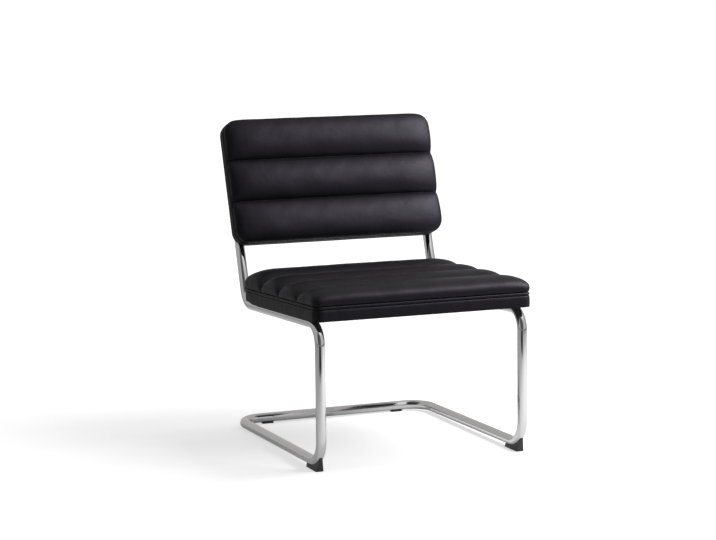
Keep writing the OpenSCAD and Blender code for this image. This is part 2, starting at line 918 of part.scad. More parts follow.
module back_rear_panel() {
    color(leather_colour)
        difference() {
            in_back_frame()
                pad_layer(back_w, back_h, back_corner_r, back_welt_d + soft_gap, soft_gap, back_board_z);
            at_back_screws()
                translate([0, 0, -overrun])
                    cylinder(r = screw_d / 2 + hole_play, h = back_board_top);
        }
}

module back_tee_nuts() {
    color(steel_colour)
        at_back_screws()
            tee_nut(back_board_z, back_board_top);
}

module back_screws() {
    color(steel_colour)
        at_back_screws()
            pad_screw(back_board_top);
}

module back_saddle_washers() {
    color(rubber_colour)
        at_back_screws()
            saddle_washer();
}

left_frame_tube();
right_frame_tube();
rear_bar_sleeve();
left_post_plug();
right_post_plug();
left_front_foot();
right_front_foot();
front_foot_screws();
left_rear_glide();
right_rear_glide();
seat_board();
seat_foam_slab();
seat_roll_foam();
seat_cover();
seat_boxing();
seat_welt();
seat_dust_cover();
seat_tee_nuts();
seat_screws();
seat_saddle_washers();
seat_rail_plugs();
back_board();
back_foam_slab();
back_roll_foam();
back_cover();
back_boxing();
back_front_welt();
back_rear_welt();
back_rear_panel();
back_tee_nuts();
back_screws();
back_saddle_washers();
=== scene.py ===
import json
import math
from dataclasses import dataclass
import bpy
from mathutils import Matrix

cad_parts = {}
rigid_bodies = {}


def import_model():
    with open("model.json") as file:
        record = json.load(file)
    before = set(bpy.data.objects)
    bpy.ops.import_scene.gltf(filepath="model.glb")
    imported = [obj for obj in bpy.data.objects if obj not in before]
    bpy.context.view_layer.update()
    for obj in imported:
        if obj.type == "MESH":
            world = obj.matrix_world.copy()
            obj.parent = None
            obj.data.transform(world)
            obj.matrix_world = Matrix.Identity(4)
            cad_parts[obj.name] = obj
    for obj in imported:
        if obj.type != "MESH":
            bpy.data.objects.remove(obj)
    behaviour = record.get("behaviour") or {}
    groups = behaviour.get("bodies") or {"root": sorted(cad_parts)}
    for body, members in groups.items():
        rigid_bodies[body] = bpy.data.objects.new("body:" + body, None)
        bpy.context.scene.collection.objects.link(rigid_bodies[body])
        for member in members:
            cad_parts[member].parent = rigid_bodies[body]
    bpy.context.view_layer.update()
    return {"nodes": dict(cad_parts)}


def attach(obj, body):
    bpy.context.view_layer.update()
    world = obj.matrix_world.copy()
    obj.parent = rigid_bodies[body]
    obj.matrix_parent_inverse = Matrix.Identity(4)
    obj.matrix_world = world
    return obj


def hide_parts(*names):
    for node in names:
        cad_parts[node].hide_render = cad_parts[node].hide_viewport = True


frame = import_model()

from types import SimpleNamespace

import bmesh
import bpy
import numpy as np
from bpy.props import FloatProperty, FloatVectorProperty, IntProperty, PointerProperty
from bpy.types import Operator, Panel, PropertyGroup
from mathutils import Matrix, Vector

bl_info = {
    "name": "Cantilever lounge chair",
    "version": (1, 0, 0),
    "blender": (4, 5, 0),
    "location": "3D View > Sidebar > Chair",
    "description": "Builds a cantilever lounge chair of bent chromed tube with a rolled leather seat and back",
    "category": "Object",
}

MM = 0.001

# Clearance between two soft pieces that lie on each other
SOFT_GAP = 0.3 * MM

# Powers of the curves by which a roll comes down: at its ends, at a channel and at the pad's outer edge. The lower
# the power, the fuller the roll stays before it drops. The flatness is that of a roll's middle
SEAT_END_POWER, BACK_END_POWER = 0.20, 0.26
CHANNEL_POWER, OUTER_POWER, ROLL_FLATNESS = 0.60, 0.28, 2.2

# Steps of the covers' grid across and along the rolls, and of what runs round a pad
ROW_STEP, COLUMN_STEP, RING_STEP = 6.4 * MM, 5.2 * MM, 5 * MM

# The cloth run that fills the covers: its frames, and the farthest that it may push the leather
FILLING_FRAMES, FILLING_CAP = 20, 2.5 * MM

# Sockets of a Mix node that mixes two colours
SHARE, LOW, HIGH, MIXED = 0, 6, 7, 2


def linear(code):
    """Linear colour of an sRGB hex value."""
    shares = [int(code[i:i + 2], 16) / 255 for i in (0, 2, 4)]
    return tuple(s / 12.92 if s <= 0.04045 else ((s + 0.055) / 1.055) ** 2.4 for s in shares) + (1.0,)


def length(name, description, default):
    """A length property, in metres."""
    return FloatProperty(name=name, description=description, default=default, unit="LENGTH", precision=4)


def colour(name, description, code):
    """A colour property, whose default is an sRGB hex value."""
    return FloatVectorProperty(name=name, description=description, default=linear(code)[:3], size=3,
                               min=0.0, max=1.0, subtype="COLOR")


class FrameSizes(PropertyGroup):
    """Sizes of the bent tube and of the loops it makes"""
    middle: length("Middle", "Distance from the front legs to the middle of the chair's depth", 0.3328749)
    tube_diameter: length("Tube diameter", "Outer diameter of the bent tube", 0.025)
    tube_wall: length("Tube wall", "Wall of the bent tube", 0.002)
    width: length("Width", "Distance between the centrelines of the two side loops", 0.542)
    seat_front_height: length("Rail height", "Height of the seat rail's centreline over the front leg", 0.363)
    rail_fall: length("Rail fall", "How much lower the rail is at the post than at the leg", 0.020)
    post_place: length("Post place", "Distance from the front leg to the corner of rail and post", 0.533)
    post_length: length("Post length", "Length of the post from that corner", 0.453)
    post_lean: FloatProperty(name="Post lean", description="Lean of the post from upright",
                             default=math.radians(18.3), subtype="ANGLE")
    seat_bend: length("Seat bend", "Centreline radius of the bends at the seat rail", 0.050)
    floor_bend: length("Floor bend", "Centreline radius of the bends at the floor", 0.062)
    floor_rail: length("Floor rail", "Distance from the front leg to the rear floor bar", 0.621)
    floor_front: length("Front rise", "Height of the floor rail's centreline over the front foot", 0.020)
    floor_rear: length("Rear rise", "Height of the rear floor bar's centreline", 0.0157)


class SeatSizes(PropertyGroup):
    """Sizes of the seat pad"""
    front_overhang: length("Front overhang", "Reach of the seat pad in front of the legs' centreline", 0.020)
    width: length("Width", "Width of the seat pad", 0.580)
    depth: length("Depth", "Depth of the seat pad along the rails", 0.5208)
    corner: length("Corner", "Radius of the pad's corners", 0.020)
    band: length("Band", "Height of the side band", 0.025)
    hem: length("Hem", "How far the side band hangs below the rails' top", 0.004)
    piping: length("Piping", "Diameter of the piping", 0.008)
    crown_front: length("Front crown", "Rise of the front roll over the piping", 0.041)
    crown_rear: length("Rear crown", "Rise of the rear roll over the piping", 0.052)
    channel: length("Channel", "Height of a sewn channel's bottom over the piping", 0.012)
    rolls: IntProperty(name="Rolls", description="Number of rolls", default=4, min=1, max=8)
    filling: FloatProperty(name="Filling", description="Pressure of the filling on the leather", default=0.8, min=0.0)


class BackSizes(PropertyGroup):
    """Sizes of the back pad"""
    start: length("Start", "Distance along the post from the rail to the pad's lower edge", 0.153)
    width: length("Width", "Width of the back pad", 0.588)
    height: length("Height", "Height of the back pad along the posts", 0.332)
    corner: length("Corner", "Radius of the pad's corners", 0.036)
    band: length("Band", "Depth of the side band", 0.022)
    piping: length("Piping", "Diameter of each piping", 0.006)
    crown: length("Crown", "Rise of the rolls over the front piping", 0.031)
    channel: length("Channel", "Height of a sewn channel's bottom over the piping", 0.008)
    rolls: IntProperty(name="Rolls", description="Number of rolls", default=3, min=1, max=8)
    filling: FloatProperty(name="Filling", description="Pressure of the filling on the leather", default=0.6, min=0.0)


class Upholstery(PropertyGroup):
    """Boards, leather, rolls and thread of the two pads"""
    leather: length("Leather", "Thickness of the leather", 0.0014)
    seat_board: length("Seat board", "Thickness of the seat's plywood board", 0.012)
    back_board: length("Back board", "Thickness of the back's plywood board", 0.010)
    dust_cloth: length("Dust cloth", "Room for the cloth under the seat board", 0.0008)
    seat_end: length("Seat roll end", "Length over which a seat roll rounds down to its end", 0.072)
    back_end: length("Back roll end", "Length over which a back roll rounds down to its end", 0.108)
    swell: length("Swell", "How far a roll bulges over the piping", 0.002)
    side_draw: length("Side draw", "How far a channel draws the side in", 0.003)
    stitch: length("Stitch", "Distance from stitch to stitch", 0.0045)
    thread: length("Thread", "Thickness of the sewing thread", 0.0006)


class Finishes(PropertyGroup):
    """Colours of all the finishes"""
    chrome: colour("Chrome", "Colour of the polished chrome", "c8c8c9")
    leather: colour("Leather", "Colour of the dyed leather", "0b0a0d")
    moulded: colour("Moulding", "Colour of the feet, glides, plugs and washers", "181819")
    zinc: colour("Zinc", "Colour of the zinc-plated fittings", "b3b6ba")
    birch: colour("Birch", "Colour of the plywood's faces", "d0ad7c")
    foam: colour("Foam", "Colour of the foam", "dccf9f")
    dust_cloth: colour("Dust cloth", "Colour of the cloth under the seat", "1b1b1d")
    thread: colour("Thread", "Colour of the sewing thread", "0c0c0e")


# Small helpers for meshes and pieces

def placed(points, turn):
    """Points, in a pad's own frame, put in the chair's frame."""
    m = np.array(turn)
    return np.asarray(points, float) @ m[:3, :3].T + m[:3, 3]


def piece(name, points, faces, smooth=True):
    """A new object from points and faces, in metres and in its place."""
    mesh = bpy.data.meshes.new(name)
    mesh.from_pydata([tuple(p) for p in np.asarray(points, float)], [], [tuple(int(i) for i in f) for f in faces])
    mesh.validate()
    mesh.polygons.foreach_set("use_smooth", [smooth] * len(mesh.polygons))
    obj = bpy.data.objects.new(name, mesh)
    bpy.context.scene.collection.objects.link(obj)
    return obj


def finished(obj, material, slot, *nodes):
    """Gives a piece its finish, puts it on the chair's one body and hides the solids that it stands for."""
    obj.data.materials.clear()
    obj.data.materials.append(material)
    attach(obj, "root")
    if nodes:
        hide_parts(*nodes)
    return obj


def grid_faces(rows, columns, closed=False, start=0):
    """Faces of a grid of points that is stored row by row, with its columns closed into a ring if asked."""
    r = np.arange(rows - 1)[:, None]
    c = np.arange(columns if closed else columns - 1)[None, :]
    n = (c + 1) % columns
    quads = np.stack(np.broadcast_arrays(r * columns + c, r * columns + n, (r + 1) * columns + n,
                                         (r + 1) * columns + c), -1)
    return (quads.reshape(-1, 4) + start).tolist()


def grid_normals(points):
    """Unit normals of a grid of points, from the steps to its neighbours."""
    across = np.gradient(points, axis=1)
    along = np.gradient(points, axis=0)
    n = np.cross(across, along)
    return n / np.maximum(np.linalg.norm(n, axis=-1, keepdims=True), 1e-12)


def wander(seed, places, coarse, fine, waves=7):
    """Smooth, fixed unevenness from -1 to 1 over places, with waves between two lengths."""
    rng = np.random.default_rng(seed)
    places = np.atleast_2d(np.asarray(places, float).T).T
    total = np.zeros(places.shape[:-1])
    for wave in np.geomspace(coarse, fine, waves):
        way = rng.normal(size=places.shape[-1])
        way /= np.linalg.norm(way)
        total += np.sin(places @ way * 2 * math.pi / wave + rng.uniform(0, 2 * math.pi))
    return total / math.sqrt(waves * 2)


def evaluated_mesh(obj):
    """A plain mesh of what an object's modifiers make."""
    found = bpy.context.evaluated_depsgraph_get()
    found.update()
    return bpy.data.meshes.new_from_object(obj.evaluated_get(found), preserve_all_data_layers=True, depsgraph=found)


def nodes_applied(obj, tree, values):
    """Runs a Geometry Nodes tree on an object once, with its inputs set, and keeps the plain mesh."""
    modifier = obj.modifiers.new("shape", "NODES")
    modifier.node_group = tree
    for item in tree.interface.items_tree:
        if item.item_type == "SOCKET" and item.in_out == "INPUT" and item.name in values:
            modifier[item.identifier] = values[item.name]
    given, made = obj.data, evaluated_mesh(obj)
    obj.modifiers.remove(modifier)
    obj.data = made
    bpy.data.meshes.remove(given)
    made.name = obj.name


def add(tree, kind, links=None, **settings):
    """Adds a node with its settings, and sets or links its inputs."""
    made = tree.nodes.new(kind)
    for name, value in settings.items():
        setattr(made, name, value)
    for socket, value in (links or {}).items():
        if isinstance(value, bpy.types.NodeSocket):
            tree.links.new(value, made.inputs[socket])
        else:
            made.inputs[socket].default_value = value
    return made


def socket_in(tree, name, kind, default=None):
    """Adds a named input to a Geometry Nodes tree."""
    made = tree.interface.new_socket(name=name, in_out="INPUT", socket_type=kind)
    if default is not None:
        made.default_value = default


# Geometry Nodes trees

def swept_tube_tree():
    """A round tube swept along the line of edges that it is given."""
    if "swept_tube" in bpy.data.node_groups:
        return bpy.data.node_groups["swept_tube"]
    tree = bpy.data.node_groups.new("swept_tube", "GeometryNodeTree")
    socket_in(tree, "Line", "NodeSocketGeometry")
    socket_in(tree, "Radius", "NodeSocketFloat", 0.0125)
    socket_in(tree, "Sides", "NodeSocketInt", 48)
    socket_in(tree, "Finish", "NodeSocketMaterial")
    tree.interface.new_socket(name="Tube", in_out="OUTPUT", socket_type="NodeSocketGeometry")
    given = add(tree, "NodeGroupInput")
    line = add(tree, "GeometryNodeMeshToCurve", {"Mesh": given.outputs["Line"]})
    ring = add(tree, "GeometryNodeCurvePrimitiveCircle",
               {"Resolution": given.outputs["Sides"], "Radius": given.outputs["Radius"]})
    swept = add(tree, "GeometryNodeCurveToMesh", {"Curve": line.outputs[0], "Profile Curve": ring.outputs[0]})
    smooth = add(tree, "GeometryNodeSetShadeSmooth", {0: swept.outputs[0]})
    real = add(tree, "GeometryNodeRealizeInstances", {0: smooth.outputs[0]})
    dressed = add(tree, "GeometryNodeSetMaterial", {"Geometry": real.outputs[0], "Material": given.outputs["Finish"]})
    add(tree, "NodeGroupOutput", {0: dressed.outputs[0]})
    return tree


def seam_row_tree():
    """A row of like small pieces, such as stitches or staples, set along a line at even distances."""
    if "seam_row" in bpy.data.node_groups:
        return bpy.data.node_groups["seam_row"]
    tree = bpy.data.node_groups.new("seam_row", "GeometryNodeTree")
    socket_in(tree, "Line", "NodeSocketGeometry")
    socket_in(tree, "Piece", "NodeSocketObject")
    socket_in(tree, "Spacing", "NodeSocketFloat", 0.004)
    socket_in(tree, "Turn", "NodeSocketFloat", 0.05)
    socket_in(tree, "Seed", "NodeSocketInt", 3)
    socket_in(tree, "Finish", "NodeSocketMaterial")
    tree.interface.new_socket(name="Row", in_out="OUTPUT", socket_type="NodeSocketGeometry")
    given = add(tree, "NodeGroupInput")
    line = add(tree, "GeometryNodeMeshToCurve", {"Mesh": given.outputs["Line"]})
    spaced = add(tree, "GeometryNodeResampleCurve", {"Curve": line.outputs[0], "Length": given.outputs["Spacing"]},
                 mode="LENGTH")
    tangent = add(tree, "GeometryNodeInputTangent")
    facing = add(tree, "FunctionNodeAlignRotationToVector", {"Vector": tangent.outputs[0]}, axis="X")
    less = add(tree, "ShaderNodeMath", {0: 0.0, 1: given.outputs["Turn"]}, operation="SUBTRACT")
    some = add(tree, "FunctionNodeRandomValue", {"Seed": given.outputs["Seed"]}, data_type="FLOAT")
    tree.links.new(less.outputs[0], some.inputs[2])
    tree.links.new(given.outputs["Turn"], some.inputs[3])
    spin = add(tree, "FunctionNodeAxisAngleToRotation", {"Axis": (0.0, 0.0, 1.0), "Angle": some.outputs[1]})
    turned = add(tree, "FunctionNodeRotateRotation", {0: facing.outputs[0], 1: spin.outputs[0]},
                 rotation_space="LOCAL")
    one = add(tree, "GeometryNodeObjectInfo", {"Object": given.outputs["Piece"]})
    row = add(tree, "GeometryNodeInstanceOnPoints",
              {"Points": spaced.outputs[0], "Instance": one.outputs["Geometry"], "Rotation": turned.outputs[0]})
    real = add(tree, "GeometryNodeRealizeInstances", {0: row.outputs[0]})
    dressed = add(tree, "GeometryNodeSetMaterial", {"Geometry": real.outputs[0], "Material": given.outputs["Finish"]})
    add(tree, "NodeGroupOutput", {0: dressed.outputs[0]})
    return tree


def line_object(name, lines):
    """An object of loose edges along one or more lines, each an array of points and whether it closes."""
    points, edges = [], []
    for line, closed in lines:
        start = len(points)
        points += [tuple(p) for p in line]
        count = len(line)
        edges += [(start + i, start + (i + 1) % count) for i in range(count if closed else count - 1)]
    mesh = bpy.data.meshes.new(name)
    mesh.from_pydata(points, edges, [])
    obj = bpy.data.objects.new(name, mesh)
    bpy.context.scene.collection.objects.link(obj)
    return obj


def swept_piece(name, lines, radius, sides, material, slot, *nodes):
    """A piece that follows a line: tube or piping."""
    obj = line_object(name, lines)
    nodes_applied(obj, swept_tube_tree(), {"Radius": radius, "Sides": sides, "Finish": material})
    # Points that meet where a ring closes are joined, and all faces turned outwards
    joined = bmesh.new()
    joined.from_mesh(obj.data)
    bmesh.ops.remove_doubles(joined, verts=joined.verts, dist=1e-7)
    bmesh.ops.recalc_face_normals(joined, faces=joined.faces)
    joined.to_mesh(obj.data)
    joined.free()
    return finished(obj, material, slot, *nodes)


# Materials

def new_material(name):
    """An empty material with its tree, and the piece's own place for patterns."""
    material = bpy.data.materials.new(name)
    material.use_nodes = True
    tree = material.node_tree
    tree.nodes.clear()
    return material, tree, add(tree, "ShaderNodeTexCoord").outputs["Object"]


def surfaced(material, inputs):
    """Closes a material with its shader, whose inputs are given as values or as sockets."""
    shader = add(material.node_tree, "ShaderNodeBsdfPrincipled", inputs)
    add(material.node_tree, "ShaderNodeOutputMaterial", {"Surface": shader.outputs[0]})
    return material


def shaded(tone, factor=1.0):
    """A colour with full cover, made darker or paler by a factor."""
    return tuple(min(1.0, c * factor) for c in tuple(tone)[:3]) + (1.0,)


def chrome_plate():
    """Polished chrome plate on steel tube: a near mirror, a little hazy in places and slightly wavy."""
    material, tree, place = new_material("polished_chrome_plate")
    haze = add(tree, "ShaderNodeTexNoise", {"Vector": place, "Scale": 1 / (60 * MM), "Detail": 4.0})
    rough = add(tree, "ShaderNodeMapRange", {"Value": haze.outputs[0], "From Min": 0.3, "From Max": 0.7,
                                             "To Min": 0.045, "To Max": 0.085})
    # The tube's own slight waviness, far too small to feel, lets the reflections waver
    waves = add(tree, "ShaderNodeTexNoise", {"Vector": place, "Scale": 1 / (45 * MM), "Detail": 1.0})
    bump = add(tree, "ShaderNodeBump", {"Height": waves.outputs[0], "Strength": 0.10, "Distance": 1.0 * MM})
    return surfaced(material, {"Base Color": shaded(bpy.context.scene.chair_finish.chrome), "Metallic": 1.0,
                               "Roughness": rough.outputs[0], "Normal": bump.outputs[0]})


def black_leather(name, shift):
    """Finished cow hide, dyed through and sealed: semi-gloss over a fine pebble grain, with soft creases."""
    material, tree, place = new_material(name)
    dye = bpy.context.scene.chair_finish.leather
    # The shift takes each pad's pattern from another part of the hide
    hide = add(tree, "ShaderNodeMapping", {"Vector": place, "Location": (shift, 0.3 * shift, 0.0)}).outputs[0]
    patch = add(tree, "ShaderNodeTexNoise", {"Vector": hide, "Scale": 1 / (90 * MM), "Detail": 5.0})
    tone = add(tree, "ShaderNodeMix", {SHARE: patch.outputs[0], LOW: shaded(dye, 0.75), HIGH: shaded(dye, 1.3)},
               data_type="RGBA")
    # The hide's pebbles are about 0.7 mm; they are drawn at 1.3 mm so that they show close by
    pebbles = add(tree, "ShaderNodeTexVoronoi", {"Vector": hide, "Scale": 1 / (1.3 * MM)}, feature="SMOOTH_F1")
    pores = add(tree, "ShaderNodeTexNoise", {"Vector": hide, "Scale": 1 / (2.5 * MM), "Detail": 6.0})
    wrinkles = add(tree, "ShaderNodeTexNoise", {"Vector": hide, "Scale": 1 / (28 * MM), "Detail": 3.0,
                                                "Distortion": 0.8})
    rough = add(tree, "ShaderNodeMapRange", {"Value": pores.outputs[0], "From Min": 0.3, "From Max": 0.7,
                                             "To Min": 0.44, "To Max": 0.56})
    grain = add(tree, "ShaderNodeBump", {"Height": pebbles.outputs[0], "Strength": 0.22, "Distance": 0.25 * MM})
    pored = add(tree, "ShaderNodeBump", {"Height": pores.outputs[0], "Strength": 0.25, "Distance": 0.3 * MM,
                                         "Normal": grain.outputs[0]})
    creased = add(tree, "ShaderNodeBump", {"Height": wrinkles.outputs[0], "Strength": 0.35, "Distance": 1.2 * MM,
                                           "Normal": pored.outputs[0]})
    # The sealing coat is duller than bare polish, so its reflections are held back
    return surfaced(material, {"Base Color": tone.outputs[MIXED], "Roughness": rough.outputs[0],
                               "Normal": creased.outputs[0], "Specular IOR Level": 0.14,
                               "Specular Tint": linear("f0e9ff")})


def moulded_plastic():
    """Injection-moulded polyamide with a spark-eroded skin: satin black with a fine even texture."""
    material, tree, place = new_material("moulded_black_polyamide")
    tint = bpy.context.scene.chair_finish.moulded
    worn = add(tree, "ShaderNodeTexNoise", {"Vector": place, "Scale": 1 / (14 * MM), "Detail": 5.0})
    tone = add(tree, "ShaderNodeMix", {SHARE: worn.outputs[0], LOW: shaded(tint, 0.8), HIGH: shaded(tint, 1.5)},
               data_type="RGBA")
    rough = add(tree, "ShaderNodeMapRange", {"Value": worn.outputs[0], "To Min": 0.42, "To Max": 0.58})
    skin = add(tree, "ShaderNodeTexNoise", {"Vector": place, "Scale": 1 / (0.5 * MM), "Detail": 2.0})
    bump = add(tree, "ShaderNodeBump", {"Height": skin.outputs[0], "Strength": 0.2, "Distance": 0.05 * MM})
    return surfaced(material, {"Base Color": tone.outputs[MIXED], "Roughness": rough.outputs[0], "IOR": 1.53,
                               "Normal": bump.outputs[0]})


def zinc_plate():
    """Bright zinc plate on pressed and turned steel: grey metal, a little cloudy, with fine crystals."""
    material, tree, place = new_material("bright_zinc_plate")
    tint = bpy.context.scene.chair_finish.zinc
    cloud = add(tree, "ShaderNodeTexVoronoi", {"Vector": place, "Scale": 1 / (1.6 * MM)}).outputs["Distance"]
    tone = add(tree, "ShaderNodeMix", {SHARE: cloud, LOW: shaded(tint, 1.05), HIGH: shaded(tint, 0.8)},
               data_type="RGBA")
    rough = add(tree, "ShaderNodeMapRange", {"Value": cloud, "To Min": 0.26, "To Max": 0.40})
    return surfaced(material, {"Base Color": tone.outputs[MIXED], "Metallic": 1.0, "Roughness": rough.outputs[0]})


def staple_wire():
    """Galvanised staple wire: dull grey metal, drawn in paler and darker lengths."""
    material, tree, place = new_material("galvanised_staple_wire")
    tint = bpy.context.scene.chair_finish.zinc
    drawn = add(tree, "ShaderNodeTexNoise", {"Vector": place, "Scale": 1 / (3 * MM), "Detail": 4.0}).outputs[0]
    tone = add(tree, "ShaderNodeMix", {SHARE: drawn, LOW: shaded(tint, 0.6), HIGH: shaded(tint)}, data_type="RGBA")
    rough = add(tree, "ShaderNodeMapRange", {"Value": drawn, "To Min": 0.35, "To Max": 0.5})
    return surfaced(material, {"Base Color": tone.outputs[MIXED], "Metallic": 1.0, "Roughness": rough.outputs[0]})


def birch_plywood(name, pad, plies):
    """Sanded birch plywood: pale, with long fine grain on the faces and light and dark plies at the edges."""
    material, tree, place = new_material(name)
    tint = bpy.context.scene.chair_finish.birch
    # The pattern is turned with the board, so that its plies lie in the board's plane
    back = pad.turn.inverted()
    local = add(tree, "ShaderNodeMapping", {"Vector": place, "Location": back.to_translation(),
                                            "Rotation": back.to_euler()}).outputs[0]
    parts = add(tree, "ShaderNodeSeparateXYZ", {0: local})
    depth = add(tree, "ShaderNodeMapRange", {"Value": parts.outputs["Z"], "From Min": pad.board_low,
                                             "From Max": pad.board_high, "To Min": 0.0, "To Max": plies / 2},
                clamp=False)
    ply = add(tree, "ShaderNodeMath", {0: depth.outputs[0]}, operation="FRACT")
    cross = add(tree, "ShaderNodeMath", {0: ply.outputs[0], 1: 0.5}, operation="GREATER_THAN")
    stretched = add(tree, "ShaderNodeMapping", {"Vector": local, "Scale": (6.0, 160.0, 160.0)}).outputs[0]
    grain = add(tree, "ShaderNodeTexNoise", {"Vector": stretched, "Scale": 1.6, "Detail": 6.0,
                                             "Distortion": 0.4}).outputs[0]
    light = add(tree, "ShaderNodeMix", {SHARE: grain, LOW: shaded(tint, 0.82), HIGH: shaded(tint, 1.12)},
                data_type="RGBA")
    dark = add(tree, "ShaderNodeMix", {SHARE: grain, LOW: shaded(tint, 0.5), HIGH: shaded(tint, 0.72)},
               data_type="RGBA")
    tone = add(tree, "ShaderNodeMix", {SHARE: cross.outputs[0], LOW: light.outputs[MIXED],
                                       HIGH: dark.outputs[MIXED]}, data_type="RGBA")
    rough = add(tree, "ShaderNodeMapRange", {"Value": grain, "To Min": 0.55, "To Max": 0.7})
    bump = add(tree, "ShaderNodeBump", {"Height": grain, "Strength": 0.2, "Distance": 0.15 * MM})
    return surfaced(material, {"Base Color": tone.outputs[MIXED], "Roughness": rough.outputs[0],
                               "Normal": bump.outputs[0]})


def cut_foam():
    """Cut polyurethane foam: matt and pale yellow, with open cells about a millimetre wide."""
    material, tree, place = new_material("cut_polyurethane_foam")
    tint = bpy.context.scene.chair_finish.foam
    cells = add(tree, "ShaderNodeTexVoronoi", {"Vector": place, "Scale": 1 / (1.2 * MM)}).outputs["Distance"]
    tone = add(tree, "ShaderNodeMix", {SHARE: cells, LOW: shaded(tint, 0.7), HIGH: shaded(tint, 1.05)},
               data_type="RGBA")
    rough = add(tree, "ShaderNodeMapRange", {"Value": cells, "To Min": 0.85, "To Max": 0.97})
    bump = add(tree, "ShaderNodeBump", {"Height": cells, "Strength": 0.6, "Distance": 0.5 * MM})
    return surfaced(material, {"Base Color": tone.outputs[MIXED], "Roughness": rough.outputs[0],
                               "Normal": bump.outputs[0]})


def spunbond_cloth():
    """Spunbonded polypropylene: a thin matt black felt, pressed in small points about 2 mm apart."""
    material, tree, place = new_material("spunbond_dust_cloth")
    tint = bpy.context.scene.chair_finish.dust_cloth
    points = add(tree, "ShaderNodeTexVoronoi", {"Vector": place, "Scale": 1 / (2.0 * MM), "Randomness": 0.15})
    fibres = add(tree, "ShaderNodeTexNoise", {"Vector": place, "Scale": 1 / (1.2 * MM), "Detail": 8.0,
                                              "Distortion": 2.0}).outputs[0]
    tone = add(tree, "ShaderNodeMix", {SHARE: fibres, LOW: shaded(tint, 0.6), HIGH: shaded(tint, 1.7)},
               data_type="RGBA")
    rough = add(tree, "ShaderNodeMapRange", {"Value": fibres, "To Min": 0.8, "To Max": 0.95})
    pressed = add(tree, "ShaderNodeBump", {"Height": points.outputs["Distance"], "Strength": 0.4,
                                           "Distance": 0.3 * MM})
    bump = add(tree, "ShaderNodeBump", {"Height": fibres, "Strength": 0.3, "Distance": 0.2 * MM,
                                        "Normal": pressed.outputs[0]})
    return surfaced(material, {"Base Color": tone.outputs[MIXED], "Roughness": rough.outputs[0],
                               "Normal": bump.outputs[0]})


def bonded_thread():
    """Bonded polyester thread: twisted, slightly waxy black."""
    material, tree, place = new_material("bonded_polyester_thread")
    tint = bpy.context.scene.chair_finish.thread
    twist = add(tree, "ShaderNodeTexWave", {"Vector": place, "Scale": 1 / (1.5 * MM), "Distortion": 1.0},
                bands_direction="DIAGONAL").outputs["Fac"]
    tone = add(tree, "ShaderNodeMix", {SHARE: twist, LOW: shaded(tint, 0.7), HIGH: shaded(tint, 1.8)},
               data_type="RGBA")
    bump = add(tree, "ShaderNodeBump", {"Height": twist, "Strength": 0.4, "Distance": 0.1 * MM})
    return surfaced(material, {"Base Color": tone.outputs[MIXED], "Roughness": 0.55, "Normal": bump.outputs[0]})


made_finishes = {}


def finish(name, make, *values):
    """The material of that name, made once."""
    if name not in made_finishes:
        made_finishes[name] = make(*values)
    return made_finishes[name]


def seat_hide():
    """The leather of the seat's cover, band and piping."""
    return finish("seat_hide", black_leather, "black_hide_seat", 0.0)


def back_hide():
    """The leather of the back's cover, band, pipings and panel."""
    return finish("back_hide", black_leather, "black_hide_back", 1.7)


# The tube's line

def loop_line(side):
    """Centreline of one side loop, from the top of its post to the middle of the rear floor bar."""
    sizes = bpy.context.scene.chair_frame
    x = side * sizes.width / 2
    lean = sizes.post_lean
    rear = sizes.seat_front_height - sizes.rail_fall
    corners = np.array([
        (x, sizes.post_place + sizes.post_length * math.sin(lean), rear + sizes.post_length * math.cos(lean)),
        (x, sizes.post_place, rear),
        (x, 0.0, sizes.seat_front_height),
        (x, 0.0, sizes.floor_front),
        (x, sizes.floor_rail, sizes.floor_rear),
        (0.0, sizes.floor_rail, sizes.floor_rear)])
    corners[:, 1] -= sizes.middle
    radii = [sizes.seat_bend, sizes.seat_bend, sizes.floor_bend, sizes.floor_bend]
    line = [corners[0]]
    for i, radius in enumerate(radii, 1):
        line += rounded_corner(corners[i - 1], corners[i], corners[i + 1], radius, step=math.radians(5))
    return np.array(line + [corners[-1]])


def rounded_corner(before, corner, after, radius, step):
    """Points of an arc that rounds a corner between two straight runs."""
    a = (before - corner) / np.linalg.norm(before - corner)
    b = (after - corner) / np.linalg.norm(after - corner)
    half = math.acos(np.clip(a @ b, -1, 1)) / 2
    middle = (a + b) / np.linalg.norm(a + b)
    centre = corner + middle * radius / math.sin(half)
    sweep = math.pi - 2 * half
    first = corner + a * radius / math.tan(half) - centre
    side = -a * radius
    count = max(2, round(sweep / step))
    return [centre + first * math.cos(q) + side * math.sin(q) for q in np.linspace(0, sweep, count + 1)]


# The pads

@dataclass
class Pad:
    """Sizes of one pad, in its own frame: u across, v from front to rear or up, w out of the pad."""
    name: str
    width: float
    depth: float
    corner: float
    # Heights of the board's two faces, and of the seam that the rolls rise from
    board_low: float
    board_high: float
    rim: float
    # Rises over that seam, of each roll and of a sewn channel's bottom
    crowns: np.ndarray
    channel: float
    # Length over which a roll comes down to its end, and the power of that curve
    end: float
    end_power: float
    # Pressure of the filling, seed of the hide's unevenness, and the pad's place on the chair
    filling: float
    seed: int
    turn: Matrix


